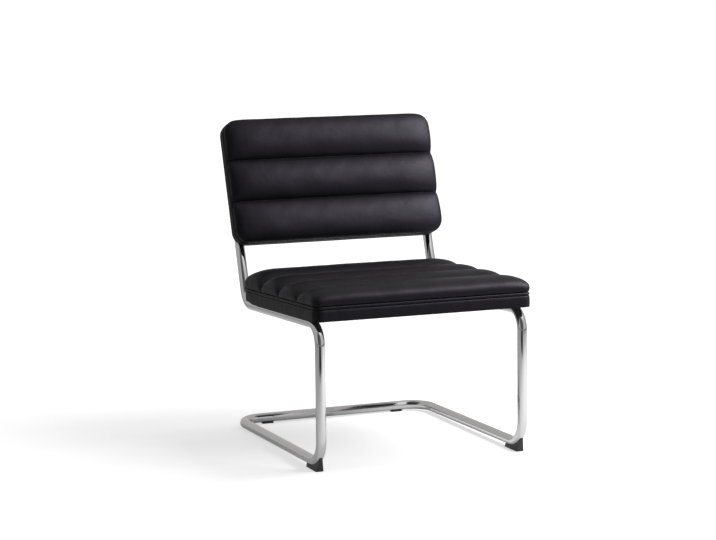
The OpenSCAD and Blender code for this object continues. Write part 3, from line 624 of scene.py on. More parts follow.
def seat_pad():
    """The seat pad, on the two rails."""
    scene = bpy.context.scene
    tubes, seat, sewing = scene.chair_frame, scene.chair_seat, scene.chair_upholstery
    slope = math.atan2(tubes.rail_fall, tubes.post_place)
    turn = (Matrix.Translation((0, -tubes.middle, tubes.seat_front_height)) @ Matrix.Rotation(-slope, 4, "X")
            @ Matrix.Translation((0, -seat.front_overhang, tubes.tube_diameter / 2)))
    board_low = SOFT_GAP + sewing.dust_cloth
    return Pad(name="seat", width=seat.width, depth=seat.depth, corner=seat.corner, board_low=board_low,
               board_high=board_low + sewing.seat_board, rim=seat.band + seat.piping + 2 * SOFT_GAP,
               crowns=np.linspace(seat.crown_front, seat.crown_rear, seat.rolls), channel=seat.channel,
               end=sewing.seat_end, end_power=SEAT_END_POWER, filling=seat.filling, seed=11, turn=turn)


def back_pad():
    """The back pad, in front of the two posts."""
    scene = bpy.context.scene
    tubes, back, sewing = scene.chair_frame, scene.chair_back, scene.chair_upholstery
    turn = (Matrix.Translation((0, tubes.post_place - tubes.middle, tubes.seat_front_height - tubes.rail_fall))
            @ Matrix.Rotation(-tubes.post_lean, 4, "X")
            @ Matrix.Translation((0, -tubes.tube_diameter / 2, back.start)) @ Matrix.Rotation(math.pi / 2, 4, "X"))
    board_low = SOFT_GAP + sewing.leather
    return Pad(name="back", width=back.width, depth=back.height, corner=back.corner, board_low=board_low,
               board_high=board_low + sewing.back_board, rim=back.band + 2 * back.piping + 4 * SOFT_GAP,
               crowns=np.full(back.rolls, back.crown), channel=back.channel, end=sewing.back_end,
               end_power=BACK_END_POWER, filling=back.filling, seed=23, turn=turn)


def resampled(line, values, spacing, fine_start=False, fine_end=False):
    """Values picked at even steps of a line's own length, both ends included, and finer at an outer edge."""
    arc = np.concatenate([[0], np.cumsum(np.linalg.norm(np.diff(line, axis=0), axis=1))])
    steps = np.linspace(0, arc[-1], max(2, round(arc[-1] / spacing)) + 1)
    if fine_start:
        steps = finer_start(steps)
    if fine_end:
        steps = arc[-1] - finer_start(arc[-1] - steps[::-1])[::-1]
    return np.interp(steps, arc, values)


def finer_start(values):
    """Adds two places in the first step, where the leather turns in under itself at the seam."""
    step = values[1] - values[0]
    return np.concatenate([[values[0], values[0] + 0.2 * step, values[0] + 0.5 * step], values[1:]])


def roll_rise(t, front_outer, rear_outer):
    """Share of a roll's rise at a place from -1 to 1 across it: full between channels, steep at an outer edge."""
    power = np.where(t < 0, OUTER_POWER if front_outer else CHANNEL_POWER,
                     OUTER_POWER if rear_outer else CHANNEL_POWER)
    return np.maximum(0, 1 - np.abs(t) ** ROLL_FLATNESS) ** power


def end_rise(distance, end, power):
    """Share of a roll's rise at a distance from its end."""
    return np.maximum(0, 1 - (1 - np.minimum(distance / end, 1)) ** 2) ** power


def eased(share):
    """A share held between 0 and 1, with a soft start and stop."""
    share = np.clip(share, 0, 1)
    return share * share * (3 - 2 * share)


def corner_inset(edge, corner):
    """How far a rounded outline's side is drawn in, at distances from the front or rear edge."""
    edge = np.maximum(0, edge)
    return np.where(edge < corner, corner - np.sqrt(np.maximum(0, corner ** 2 - (corner - edge) ** 2)), 0)


def roll_rows(pad):
    """The grid's rows over all the rolls, picked at even steps of their section, with what each row needs."""
    pitch = pad.depth / len(pad.crowns)
    t = np.sin(np.linspace(-math.pi / 2, math.pi / 2, 721))
    rows = []
    for k, crown in enumerate(pad.crowns):
        first, last = k == 0, k == len(pad.crowns) - 1
        floor = np.where(t < 0, 0 if first else pad.channel, 0 if last else pad.channel)
        section = np.stack([(1 + t) / 2 * pitch, floor + (crown - floor) * roll_rise(t, first, last)], 1)
        picked = resampled(section, t, ROW_STEP, fine_start=first, fine_end=last)
        for i, p in enumerate(picked):
            # A channel between two rolls is already there, as the last row of the roll in front
            if i == 0 and not first:
                continue
            outer = (first and p < 0) or (last and p > 0)
            rows.append({"v": (k + (1 + p) / 2) * pitch,
                         "rise": float(roll_rise(np.array(p), first, last)),
                         "floor": 0.0 if outer else pad.channel,
                         "crown": crown,
                         # On the slope outside all channels: no channel draws its sides in, and none is near
                         "outer": outer,
                         "draw": 0.0 if outer else abs(p) ** 4,
                         "near": 1.0 if outer else (1 - abs(p)) * pitch / 2,
                         "joint": i == len(picked) - 1 and not last})
    rows = SimpleNamespace(**{name: np.array([row[name] for row in rows]) for name in rows[0]})
    for i in np.flatnonzero(rows.joint):
        rows.crown[i] = (rows.crown[i - 1] + rows.crown[i + 1]) / 2
    return rows


def roll_columns(pad):
    """Distances from a roll's end for the grid's end columns, and places from -1 to 1 for those between them."""
    d = pad.end * np.linspace(0, 1, 2000) ** 3
    section = np.stack([d, pad.crowns.mean() * end_rise(d, pad.end, pad.end_power)], 1)
    count = max(2, round((pad.width - 2 * pad.end) / COLUMN_STEP))
    return resampled(section, d, COLUMN_STEP, fine_start=True), np.linspace(-1, 1, count + 1)[1:-1]


def rolls_form(pad):
    """The rolls' surface as a grid of points, where it is sewn down, and how far channels and ends are away."""
    sewing = bpy.context.scene.chair_upholstery
    rows = roll_rows(pad)
    ends, middle = roll_columns(pad)
    edge = np.minimum(rows.v, pad.depth - rows.v)
    half = (pad.width / 2 - corner_inset(edge, pad.corner) - sewing.side_draw * rows.draw)[:, None]
    u = np.concatenate([ends - half, middle * (half - pad.end), half - ends[::-1]], 1)
    v = np.broadcast_to(rows.v[:, None], u.shape)
    away = np.concatenate([ends, np.full(len(middle), pad.end), ends[::-1]])
    roll_share = end_rise(away, pad.end, pad.end_power)
    # A channel comes down to the seam within a shorter length than a roll, and as a round
    low = rows.floor[:, None] * end_rise(away, 0.75 * pad.end, 0.5)
    w = low + (rows.crown[:, None] * roll_share - low) * rows.rise[:, None]
    # The wall bulges over the piping, fading out at this share of the rise, and tucks in under itself at the seam
    bulged_share, tucked_share, tuck = 0.8, 0.07, 3.2 * MM
    risen = np.where(rows.outer, rows.rise, 1.0)[:, None] * roll_share
    bulge = sewing.swell * np.sin(math.pi * np.minimum(1, risen / bulged_share)) \
        - tuck * np.maximum(0, 1 - risen / tucked_share) ** 2
    flat = np.stack([u, v], -1) + outline_normal(pad, u, v) * bulge[..., None]
    points = np.concatenate([flat, (pad.rim + w)[..., None]], -1)
    sewn = np.zeros(u.shape, bool)
    sewn[[0, -1], :] = True
    sewn[:, [0, -1]] = True
    sewn[rows.joint, :] = True
    return points, sewn, rows.joint, rows.near[:, None], away


def outline_normal(pad, u, v):
    """Outward way, in the pad's plane, from the nearest side or corner of its outline."""
    px, py = u, v - pad.depth / 2
    qx = np.abs(px) - (pad.width / 2 - pad.corner)
    qy = np.abs(py) - (pad.depth / 2 - pad.corner)
    corner = (qx > 0) & (qy > 0)
    nx = np.where(corner, qx, np.where(qx > qy, 1.0, 0.0))
    ny = np.where(corner, qy, np.where(qx > qy, 0.0, 1.0))
    n = np.stack([nx * np.sign(px), ny * np.sign(py)], -1)
    return n / np.maximum(np.linalg.norm(n, axis=-1, keepdims=True), 1e-9)


settled = {}


def settled_rolls(pad):
    """The rolls' surface once the leather is filled, where it is sewn down, and which rows are channels."""
    if pad.name in settled:
        return settled[pad.name]
    points, sewn, joint, near, away = rolls_form(pad)
    # Slack hide lies in soft dents, and gathers in small folds where a channel meets the side
    dents = 0.45 * MM * wander(pad.seed, points[..., :2], 150 * MM, 45 * MM)
    folds = 0.7 * MM * wander(pad.seed + 1, points[..., :2] * (1, 0.12), 24 * MM, 11 * MM)
    # The folds fade with the distance from a channel and from the side, and leave the channel's seam alone
    by_channel = np.exp(-near / (13 * MM)) * np.clip(near / (4 * MM), 0, 1)
    by_side = 0.2 + 0.8 * np.exp(-away / (40 * MM))
    points = points + grid_normals(points) * ((dents + folds * by_channel * by_side) * ~sewn)[..., None]
    points = filled_with_pressure(pad, points, sewn)
    settled[pad.name] = (points, sewn, joint)
    return settled[pad.name]


def filled_with_pressure(pad, points, sewn):
    """Presses the sewn-down surface out as cloth and caps how far a point may move."""
    # The solver stops at points that lie on each other, as at the tucked corners, so all are spread a very little
    start = points + np.random.default_rng(3).normal(0, 0.02 * MM, points.shape)
    obj = piece(pad.name + "_filling_run", start.reshape(-1, 3), grid_faces(*sewn.shape))
    group = obj.vertex_groups.new(name="sewn")
    group.add([int(i) for i in np.flatnonzero(sewn)], 1.0, "REPLACE")
    cloth = obj.modifiers.new("filling", "CLOTH")
    for name, value in (("quality", 6), ("mass", 0.0004), ("use_pressure", True),
                        ("uniform_pressure_force", pad.filling), ("tension_stiffness", 18),
                        ("compression_stiffness", 18), ("shear_stiffness", 9), ("bending_stiffness", 12.0),
                        ("vertex_group_mass", group.name)):
        setattr(cloth.settings, name, value)
    cloth.settings.effector_weights.gravity = 0
    cloth.point_cache.frame_start, cloth.point_cache.frame_end = 1, FILLING_FRAMES
    for step in range(1, FILLING_FRAMES + 1):
        bpy.context.scene.frame_set(step)
    mesh = evaluated_mesh(obj)
    moved = np.zeros(points.size)
    mesh.vertices.foreach_get("co", moved)
    moved = moved.reshape(points.shape) - start
    # With its mesh goes the object of the run
    bpy.data.meshes.remove(mesh)
    bpy.data.meshes.remove(obj.data)
    bpy.context.scene.frame_set(1)
    size = np.linalg.norm(moved, axis=-1, keepdims=True)
    print("filled", pad.name, "most", round(float(size.max()) / MM, 2), "mean", round(float(size.mean()) / MM, 2))
    return points + moved * np.minimum(1, FILLING_CAP / np.maximum(size, 1e-9))


def rolled_cover(pad, material, slot, node):
    """The leather over the rolls, as thick as the hide and sewn down in its channels."""
    points, sewn, joint = settled_rolls(pad)
    rows, columns = sewn.shape
    obj = piece(node + "_hide", placed(points.reshape(-1, 3), pad.turn), grid_faces(rows, columns))
    # The edges along a channel stay sharp when the surface is made finer
    row = np.array([edge.vertices[:] for edge in obj.data.edges]) // columns
    along = (row[:, 0] == row[:, 1]) & joint[row[:, 0]]
    obj.data.attributes.new("crease_edge", "FLOAT", "EDGE").data.foreach_set("value", along.astype(float))
    finer = obj.modifiers.new("finer", "SUBSURF")
    finer.levels = finer.render_levels = 1
    thick = obj.modifiers.new("thickness", "SOLIDIFY")
    thick.thickness, thick.offset = bpy.context.scene.chair_upholstery.leather, -1
    finished(obj, material, slot, node)
    return obj


def roll_foam(pad, material, node):
    """The foam that fills the rolls, closed by a flat underside."""
    points, _, joint = settled_rolls(pad)
    # Every other row will do for the foam, and it keeps clear of the seams, with their three finer rows and columns
    last = len(points) - 1
    keep = sorted(set(range(4, last - 2, 2)) | {int(i) for i in np.flatnonzero(joint)})
    inward = grid_normals(points) * (bpy.context.scene.chair_upholstery.leather + 2 * SOFT_GAP)
    top = (points - inward)[keep][:, 3:-3]
    top[..., 2] = np.maximum(top[..., 2], pad.rim + 0.5 * MM)
    # The underside is drawn in from all four sides
    bottom = top.copy()
    drawn = 1 - 2 * 6 * MM / np.array([pad.width, pad.depth])
    middle = np.array([0, pad.depth / 2])
    bottom[..., :2] = middle + (bottom[..., :2] - middle) * drawn
    bottom[..., 2] = pad.rim + 0.2 * MM
    rows, columns = top.shape[:2]
    start = rows * columns
    faces = grid_faces(rows, columns) + [f[::-1] for f in grid_faces(rows, columns, start=start)]
    ring = list(range(columns)) + [r * columns + columns - 1 for r in range(1, rows)] \
        + [(rows - 1) * columns + c for c in range(columns - 2, -1, -1)] + [r * columns for r in range(rows - 2, 0, -1)]
    faces += [(start + a, start + b, b, a) for a, b in zip(ring, ring[1:] + ring[:1])]
    obj = piece(node + "_filling", placed(np.concatenate([top.reshape(-1, 3), bottom.reshape(-1, 3)]), pad.turn), faces)
    finished(obj, material, "foam", node)
    return obj


def outline(pad, spacing):
    """Points of the pad's outline, once round from the front left, and their outward ways."""
    a, r = pad.width / 2 - pad.corner, pad.corner
    b0, b1 = pad.corner, pad.depth - pad.corner
    points, ways = [], []

    def run(p, q, way):
        count = max(1, round(math.dist(p, q) / spacing))
        for i in range(count):
            points.append([p[0] + (q[0] - p[0]) * i / count, p[1] + (q[1] - p[1]) * i / count])
            ways.append(way)

    def bend(centre, first):
        count = max(8, round(r * math.pi / 2 / spacing))
        for i in range(count):
            q = first + math.pi / 2 * i / count
            points.append([centre[0] + r * math.cos(q), centre[1] + r * math.sin(q)])
            ways.append([math.cos(q), math.sin(q)])

    run((-a, 0), (a, 0), [0, -1])
    bend((a, b0), -math.pi / 2)
    run((a + r, b0), (a + r, b1), [1, 0])
    bend((a, b1), 0)
    run((a, pad.depth), (-a, pad.depth), [0, 1])
    bend((-a, b1), math.pi / 2)
    run((-a - r, b1), (-a - r, b0), [-1, 0])
    bend((-a, b0), math.pi)
    return np.array(points), np.array(ways)


def ring_points(pad, spacing, profile):
    """Rows of points round a pad; profile gives the outward offset and the height at each outline point."""
    line, way = outline(pad, spacing)
    rows = []
    for offset, height in profile(line):
        offset = np.broadcast_to(offset, len(line))[:, None]
        height = np.broadcast_to(height, len(line))[:, None]
        rows.append(np.concatenate([line + way * offset, height], 1))
    return np.array(rows)


def ring_piece(name, pad, profile):
    """A closed band round a pad, whose profile is itself closed."""
    points = ring_points(pad, RING_STEP, profile)
    rows, columns = points.shape[:2]
    last = (rows - 1) * columns
    faces = grid_faces(rows, columns, closed=True)
    faces += [(last + c, last + (c + 1) % columns, (c + 1) % columns, c) for c in range(columns)]
    return piece(name, placed(points.reshape(-1, 3), pad.turn), faces)


def band_profile(low, high, tuck_low, tuck_high, seed):
    """Closed section of a leather band: outer side with a slight swell, tucked ends, and its inner side."""
    leather = bpy.context.scene.chair_upholstery.leather
    # The swell of the outer side, how far its ends lie back, the depth of its puckers, and the share that is tucked
    swell, back, pucker_depth, tucked = 0.9 * MM, 0.15 * MM, 0.22 * MM, 0.12

    def profile(line):
        bottom = low(line) if callable(low) else low
        along = np.concatenate([[0], np.cumsum(np.linalg.norm(np.diff(line, axis=0), axis=1))])
        lap = along[-1] + np.linalg.norm(line[0] - line[-1])
        angle = along / lap * 2 * math.pi
        # Unevenness is read on a circle as long as the outline, so that it closes on itself
        circle = np.stack([np.cos(angle), np.sin(angle)], 1) * lap / (2 * math.pi)
        uneven = wander(seed, circle, 120 * MM, 30 * MM)
        pucker = wander(seed + 1, circle, 22 * MM, 11 * MM)
        rows = []
        for share in (0.0, 0.04, 0.12, 0.25, 0.42, 0.6, 0.76, 0.88, 0.96, 1.0):
            offset = swell * math.sin(math.pi * share) ** 0.7 * (1 + 0.5 * uneven) - back
            offset += pucker_depth * pucker * (share ** 2 * (1 - share) * 6)
            offset -= tuck_low * max(0, 1 - share / tucked) ** 2 + tuck_high * max(0, 1 - (1 - share) / tucked) ** 2
            rows.append((offset, bottom + (high - bottom) * share))
        rows.append((-tuck_high - leather, high))
        rows += [(-leather, bottom + (high - bottom) * share) for share in (0.96, 0.6, 0.25, 0.04)]
        rows.append((-tuck_low - leather, bottom))
        return rows

    return profile


def piping_line(pad, inset, height, seed):
    """Centreline of a piping, with the slight waver of a sewn one."""
    line, way = outline(pad, RING_STEP)
    angle = np.linspace(0, 2 * math.pi, len(line), endpoint=False)
    circle = np.stack([np.cos(angle), np.sin(angle)], 1) * (pad.width + pad.depth) / math.pi
    waver = 0.12 * MM * wander(seed, circle, 160 * MM, 40 * MM)
    return placed(np.concatenate([line - way * (inset + waver)[:, None], (height + waver)[:, None]], 1), pad.turn)


def slab_piece(pad, shoulder, piping, material, node):
    """The flat foam base, full inside the band up to its shoulder and narrower beside the piping."""
    low, high = pad.board_high + 0.1 * MM, pad.rim - 0.5 * MM
    wide = -(bpy.context.scene.chair_upholstery.leather + 1.2 * MM)
    narrow = -(piping + 0.8 * MM)
    eased_edge = 1.5 * MM

    def profile(line):
        return [(wide - eased_edge, low), (wide, low + eased_edge), (wide, shoulder - 2 * MM),
                (wide - 1.2 * MM, shoulder - 0.4 * MM), (narrow, shoulder), (narrow, high)]

    points = ring_points(pad, 8 * MM, profile)
    rows, columns = points.shape[:2]
    faces = grid_faces(rows, columns, closed=True)
    faces += [list(range(columns))[::-1], [(rows - 1) * columns + c for c in range(columns)]]
    obj = piece(node + "_cut", placed(points.reshape(-1, 3), pad.turn), faces, smooth=False)
    finished(obj, material, "foam", node)
    return obj


def flat_grid(pad, inset, spacing):
    """A grid over the pad's outline, drawn in by an inset, and each point's distance to the edge."""
    width, depth, corner = pad.width - 2 * inset, pad.depth - 2 * inset, max(pad.corner - inset, 4 * MM)
    ends = corner * (1 - np.cos(np.linspace(0, math.pi / 2, 7)))
    middle = np.linspace(corner, depth - corner, max(3, round((depth - 2 * corner) / spacing)))[1:-1]
    v = np.concatenate([ends, middle, depth - ends[::-1]])
    half = (width / 2 - corner_inset(np.minimum(v, depth - v), corner))[:, None]
    u = half * np.linspace(-1, 1, max(3, round(width / spacing)) + 1)
    v = np.broadcast_to(v[:, None], u.shape)
    distance = np.minimum(np.minimum(v, depth - v), half - np.abs(u))
    return np.stack([u, v + inset], -1), distance


def sheet_piece(name, pad, flat, height, thickness, offset):
    """A thin cloth or hide over a flat grid, facing out of the pad's rear or underside."""
    points = np.concatenate([flat, height[..., None]], -1)
    obj = piece(name, placed(points.reshape(-1, 3), pad.turn), [f[::-1] for f in grid_faces(*height.shape)])
    thick = obj.modifiers.new("thickness", "SOLIDIFY")
    thick.thickness, thick.offset = thickness, offset
    return obj


def refined(node, name, material, slot, bevel):
    """A copy of a hard solid, merged and with its edges rounded off a little."""
    merged = bmesh.new()
    merged.from_mesh(bpy.data.objects[node].data)
    bmesh.ops.remove_doubles(merged, verts=merged.verts, dist=1e-6)
    bmesh.ops.dissolve_limit(merged, angle_limit=math.radians(1), verts=merged.verts, edges=merged.edges)
    plain = bpy.data.meshes.new(name + "_merged")
    merged.to_mesh(plain)
    merged.free()
    obj = bpy.data.objects.new(name, plain)
    bpy.context.scene.collection.objects.link(obj)
    rounding = obj.modifiers.new("rounding", "BEVEL")
    rounding.width, rounding.segments, rounding.limit_method = bevel, 3, "ANGLE"
    rounding.angle_limit = math.radians(35)
    rounding.use_clamp_overlap = True
    obj.data = evaluated_mesh(obj)
    obj.modifiers.clear()
    bpy.data.meshes.remove(plain)
    obj.data.name = name
    obj.data.polygons.foreach_set("use_smooth", [True] * len(obj.data.polygons))
    obj.data.set_sharp_from_angle(angle=math.radians(40))
    return finished(obj, material, slot, node)


def dressed(node, material):
    """Gives a solid of the frame its finish."""
    obj = frame["nodes"][node]
    obj.data.materials.clear()
    obj.data.materials.append(material)


# One operator for each piece or group of like pieces

class CHAIR_OT_frame_tubes(Operator):
    """Sweeps the two chromed side loops along their bent centrelines"""
    bl_idname = "lounge_chair.frame_tubes"
    bl_label = "Frame tubes"

    def execute(self, context):
        sizes = context.scene.chair_frame
        chrome = finish("chrome", chrome_plate)
        for side, node in ((-1, "left_frame_tube"), (1, "right_frame_tube")):
            obj = swept_piece(node + "_chromed", [(loop_line(side), False)], sizes.tube_diameter / 2, 56, chrome,
                              "frame_chrome", node)
            wall = obj.modifiers.new("wall", "SOLIDIFY")
            wall.thickness, wall.offset = sizes.tube_wall, -1
        return {"FINISHED"}


class CHAIR_OT_fittings(Operator):
    """Finishes the joining sleeve, the screws and the tee nuts in bright zinc"""
    bl_idname = "lounge_chair.fittings"
    bl_label = "Sleeve, screws and tee nuts"

    def execute(self, context):
        zinc = finish("zinc", zinc_plate)
        for node in ("rear_bar_sleeve", "front_foot_screws", "seat_tee_nuts", "seat_screws", "back_tee_nuts",
                     "back_screws"):
            dressed(node, zinc)
        return {"FINISHED"}


class CHAIR_OT_mouldings(Operator):
    """Rounds the edges of the feet, glides, plugs and washers and gives them their moulded skin"""
    bl_idname = "lounge_chair.mouldings"
    bl_label = "Feet, glides, plugs and washers"

    def execute(self, context):
        plastic = finish("plastic", moulded_plastic)
        for node in ("left_front_foot", "right_front_foot", "left_rear_glide", "right_rear_glide"):
            refined(node, node + "_moulded", plastic, "foot_plastic", 0.7 * MM)
        for node in ("left_post_plug", "right_post_plug", "seat_rail_plugs", "seat_saddle_washers",
                     "back_saddle_washers"):
            refined(node, node + "_moulded", plastic, "foot_plastic", 0.3 * MM)
        return {"FINISHED"}


class CHAIR_OT_boards(Operator):
    """Gives the two boards their plywood, with the plies in each board's own plane"""
    bl_idname = "lounge_chair.boards"
    bl_label = "Boards"

    def execute(self, context):
        dressed("seat_board", finish("seat_ply", birch_plywood, "birch_plywood_seat", seat_pad(), 9))
        dressed("back_board", finish("back_ply", birch_plywood, "birch_plywood_back", back_pad(), 7))
        return {"FINISHED"}


class CHAIR_OT_seat_cover(Operator):
    """Fills and sews the leather over the seat's rolls"""
    bl_idname = "lounge_chair.seat_cover"
    bl_label = "Seat cover"

    def execute(self, context):
        rolled_cover(seat_pad(), seat_hide(), "seat_leather", "seat_cover")
        return {"FINISHED"}


class CHAIR_OT_back_cover(Operator):
    """Fills and sews the leather over the back's rolls"""
    bl_idname = "lounge_chair.back_cover"
    bl_label = "Back cover"

    def execute(self, context):
        rolled_cover(back_pad(), back_hide(), "back_leather", "back_cover")
        return {"FINISHED"}


class CHAIR_OT_foams(Operator):
    """Fills both pads with their foam slabs and roll foams"""
    bl_idname = "lounge_chair.foams"
    bl_label = "Foams"

    def execute(self, context):
        foam = finish("foam", cut_foam)
        seat, back = context.scene.chair_seat, context.scene.chair_back
        pad = seat_pad()
        roll_foam(pad, foam, "seat_roll_foam")
        slab_piece(pad, seat.band, seat.piping, foam, "seat_foam_slab")
        pad = back_pad()
        roll_foam(pad, foam, "back_roll_foam")
        slab_piece(pad, 2 * SOFT_GAP + back.piping + back.band, back.piping, foam, "back_foam_slab")
        return {"FINISHED"}


class CHAIR_OT_seat_band(Operator):
    """Stretches the leather band round the seat, with its hem raised at the rear bends"""
    bl_idname = "lounge_chair.seat_band"
    bl_label = "Seat band"

    def execute(self, context):
        seat = context.scene.chair_seat
        pad = seat_pad()
        # Where the hem starts to rise and over what length, and the height over the rails that it reaches
        rise_start, rise_length, raised = pad.depth - 70 * MM, 45 * MM, 1.3 * MM

        def hem(line):
            return -seat.hem + (seat.hem + raised) * eased((line[:, 1] - rise_start) / rise_length)

        obj = ring_piece("seat_boxing_band", pad, band_profile(hem, seat.band, 0.0, 1.6 * MM, seed=5))
        finished(obj, seat_hide(), "seat_leather", "seat_boxing")
        return {"FINISHED"}


class CHAIR_OT_back_band(Operator):
    """Stretches the leather band round the back pad"""
    bl_idname = "lounge_chair.back_band"
    bl_label = "Back band"

    def execute(self, context):
        back = context.scene.chair_back
        pad = back_pad()
        low = back.piping + 2 * SOFT_GAP
        obj = ring_piece("back_boxing_band", pad, band_profile(low, low + back.band, 2.2 * MM, 2.2 * MM, seed=9))
        finished(obj, back_hide(), "back_leather", "back_boxing")
        return {"FINISHED"}


class CHAIR_OT_pipings(Operator):
    """Sweeps the three pipings round the pads"""
    bl_idname = "lounge_chair.pipings"
    bl_label = "Pipings"

    def execute(self, context):
        seat, back = context.scene.chair_seat, context.scene.chair_back
        pad, r = seat_pad(), seat.piping / 2
        line = piping_line(pad, r - 0.5 * MM, seat.band + SOFT_GAP + r, seed=31)
        swept_piece("seat_welt_piping", [(line, True)], r, 16, seat_hide(), "seat_leather", "seat_welt")
        pad, r = back_pad(), back.piping / 2
        for node, height, seed in (("back_front_welt", back.piping + 3 * SOFT_GAP + back.band + r, 33),
                                   ("back_rear_welt", SOFT_GAP + r, 35)):
            line = piping_line(pad, r - 0.4 * MM, height, seed)
            swept_piece(node + "_piping", [(line, True)], r, 16, back_hide(), "back_leather", node)
        return {"FINISHED"}


class CHAIR_OT_back_panel(Operator):
    """Stretches the leather over the rear of the back board, tucked in at the rear piping"""
    bl_idname = "lounge_chair.back_panel"
    bl_label = "Back panel"

    def execute(self, context):
        pad, tubes = back_pad(), context.scene.chair_frame
        flat, edge = flat_grid(pad, inset=3.3 * MM, spacing=9 * MM)
        # The hide lies flat under the posts, turns up into the seam at its edge, and bellies out between the posts
        turned_up = 3.0 * MM * np.maximum(0, 1 - edge / (6 * MM)) ** 2
        free = eased((tubes.width / 2 - 0.75 * tubes.tube_diameter - np.abs(flat[..., 0])) / (60 * MM))
        belly = free * np.clip(edge / (60 * MM), 0, 1) * (1.1 + 0.4 * wander(41, flat, 140 * MM, 50 * MM)) * MM
        obj = sheet_piece("back_rear_panel_hide", pad, flat, 0.35 * MM + turned_up - belly, 1.2 * MM, -1)
        finished(obj, back_hide(), "back_leather", "back_rear_panel")
        return {"FINISHED"}


class CHAIR_OT_dust_cover(Operator):
    """Stretches the dust cloth under the seat board, and staples it"""
    bl_idname = "lounge_chair.dust_cover"
    bl_label = "Dust cover and staples"

    def execute(self, context):
        pad, tubes = seat_pad(), context.scene.chair_frame
        inset = 2.2 * MM
        flat = flat_grid(pad, inset, spacing=10 * MM)[0]
        # The cloth sags a little between the rails, and is held up along its front and rear edges
        free = eased((tubes.width / 2 - tubes.tube_diameter - np.abs(flat[..., 0])) / (80 * MM))
        deep = eased((np.minimum(flat[..., 1], pad.depth - flat[..., 1]) - 16 * MM) / (90 * MM))
        sag = free * deep * (2.2 + 0.5 * wander(43, flat, 160 * MM, 60 * MM)) * MM
        obj = sheet_piece("seat_dust_cloth", pad, flat, 0.95 * MM - sag, 0.45 * MM, 1)
        finished(obj, finish("dust_cloth", spunbond_cloth), "dust_cloth", "seat_dust_cover")
        self.staples(pad)
        return {"FINISHED"}

    def staples(self, pad):
        """Staples along all four edges of the cloth, clear of the rails under it."""
        crown, leg, bend_up, bend_in, wire = 5 * MM, 1.4 * MM, 0.4 * MM, 0.6 * MM, 0.35 * MM
        shape = [(-crown, 0, leg), (-crown, 0, bend_up), (bend_in - crown, 0, 0), (crown - bend_in, 0, 0),
                 (crown, 0, bend_up), (crown, 0, leg)]
        steel = finish("staple", staple_wire)
        one = line_object("one_staple", [(shape, False)])
        nodes_applied(one, swept_tube_tree(), {"Radius": wire, "Sides": 6, "Finish": steel})
        # The end rows stop short of the rails, and the side rows short of the corners
        low = 0.5 * MM - wire * 0.8
        reach = pad.width / 2 - 50 * MM
        rows = [[(-reach, v, low), (reach, v, low)] for v in (11 * MM, pad.depth - 11 * MM)]
        side, front, rear = pad.width / 2 - 8 * MM, 30 * MM, pad.depth - 45 * MM
        rows += [[(u, front, low), (u, rear, low)] for u in (-side, side)]
        obj = line_object("seat_dust_cloth_staples", [(placed(row, pad.turn), False) for row in rows])
        nodes_applied(obj, seam_row_tree(), {"Piece": one, "Spacing": 44 * MM, "Turn": 0.12, "Seed": 5,
                                             "Finish": steel})
        bpy.data.meshes.remove(one.data)
        finished(obj, steel, "zinc_plated_steel")


class CHAIR_OT_stitches(Operator):
    """Sews a row of stitches along the bottom of every channel"""
    bl_idname = "lounge_chair.stitches"
    bl_label = "Stitches"

    def execute(self, context):
        up = context.scene.chair_upholstery
        thread = finish("thread", bonded_thread)
        made = bmesh.new()
        bmesh.ops.create_icosphere(made, subdivisions=1, radius=1.0)
        mesh = bpy.data.meshes.new("one_stitch")
        bmesh.ops.scale(made, vec=(up.stitch * 0.42, up.thread / 2, up.thread / 2), verts=made.verts)
        made.to_mesh(mesh)
        made.free()
        mesh.polygons.foreach_set("use_smooth", [True] * len(mesh.polygons))
        one = bpy.data.objects.new("one_stitch", mesh)
        context.scene.collection.objects.link(one)
        for pad, slot in ((seat_pad(), "seat_leather"), (back_pad(), "back_leather")):
            points, _, joint = settled_rolls(pad)
            lines = []
            for row in np.flatnonzero(joint):
                line = points[row].copy()
                line[:, 2] += up.thread * 0.3
                lines.append((placed(line, pad.turn), False))
            obj = line_object(pad.name + "_channel_stitches", lines)
            nodes_applied(obj, seam_row_tree(), {"Piece": one, "Spacing": up.stitch, "Turn": 0.08, "Seed": 7,
                                                 "Finish": thread})
            finished(obj, thread, slot)
        bpy.data.meshes.remove(mesh)
        return {"FINISHED"}


class CHAIR_OT_stage(Operator):
    """Sets the pale floor, the soft studio light and the camera at the photograph's angle"""
    bl_idname = "lounge_chair.stage"
    bl_label = "Floor, light and camera"

    def execute(self, context):
        scene = context.scene
        scene.view_settings.view_transform = "Standard"
        floor = piece("floor", [(-40, -40, 0), (40, -40, 0), (40, 60, 0), (-40, 60, 0)], [(0, 1, 2, 3)])
        floor.data.materials.append(floor_paper())
        studio_world(scene)
        # The tubes show the pale room and no lamp, which would be a hard white streak on them. The leather takes its
        # long soft sheen from a softbox of its own, low on the right
        tubes = ("left_frame_tube", "right_frame_tube")
        leather = ("seat_cover", "seat_boxing", "seat_welt", "back_cover", "back_boxing", "back_front_welt",
                   "back_rear_welt", "back_rear_panel")
        rest = lit_group("all_but_tubes_and_leather", tubes + leather, "EXCLUDE")
        hides = lit_group("leather_alone", leather, "INCLUDE")
        softbox("softbox_overhead", place=(1.45, -0.1, 2.2), aim=(0.15, 0.0, 0.4), size=(1.1, 1.8), power=40.0,
                lit=rest)
        softbox("softbox_front", place=(1.70, -1.50, 1.85), aim=(0.0, 0.1, 0.6), size=(1.5, 0.9), power=34.0,
                lit=rest)
        softbox("softbox_right", place=(1.58, -0.81, 1.83), aim=(0.0, 0.1, 0.6), size=(1.5, 1.2), power=122.0,
                lit=hides)
        camera(scene)
        return {"FINISHED"}


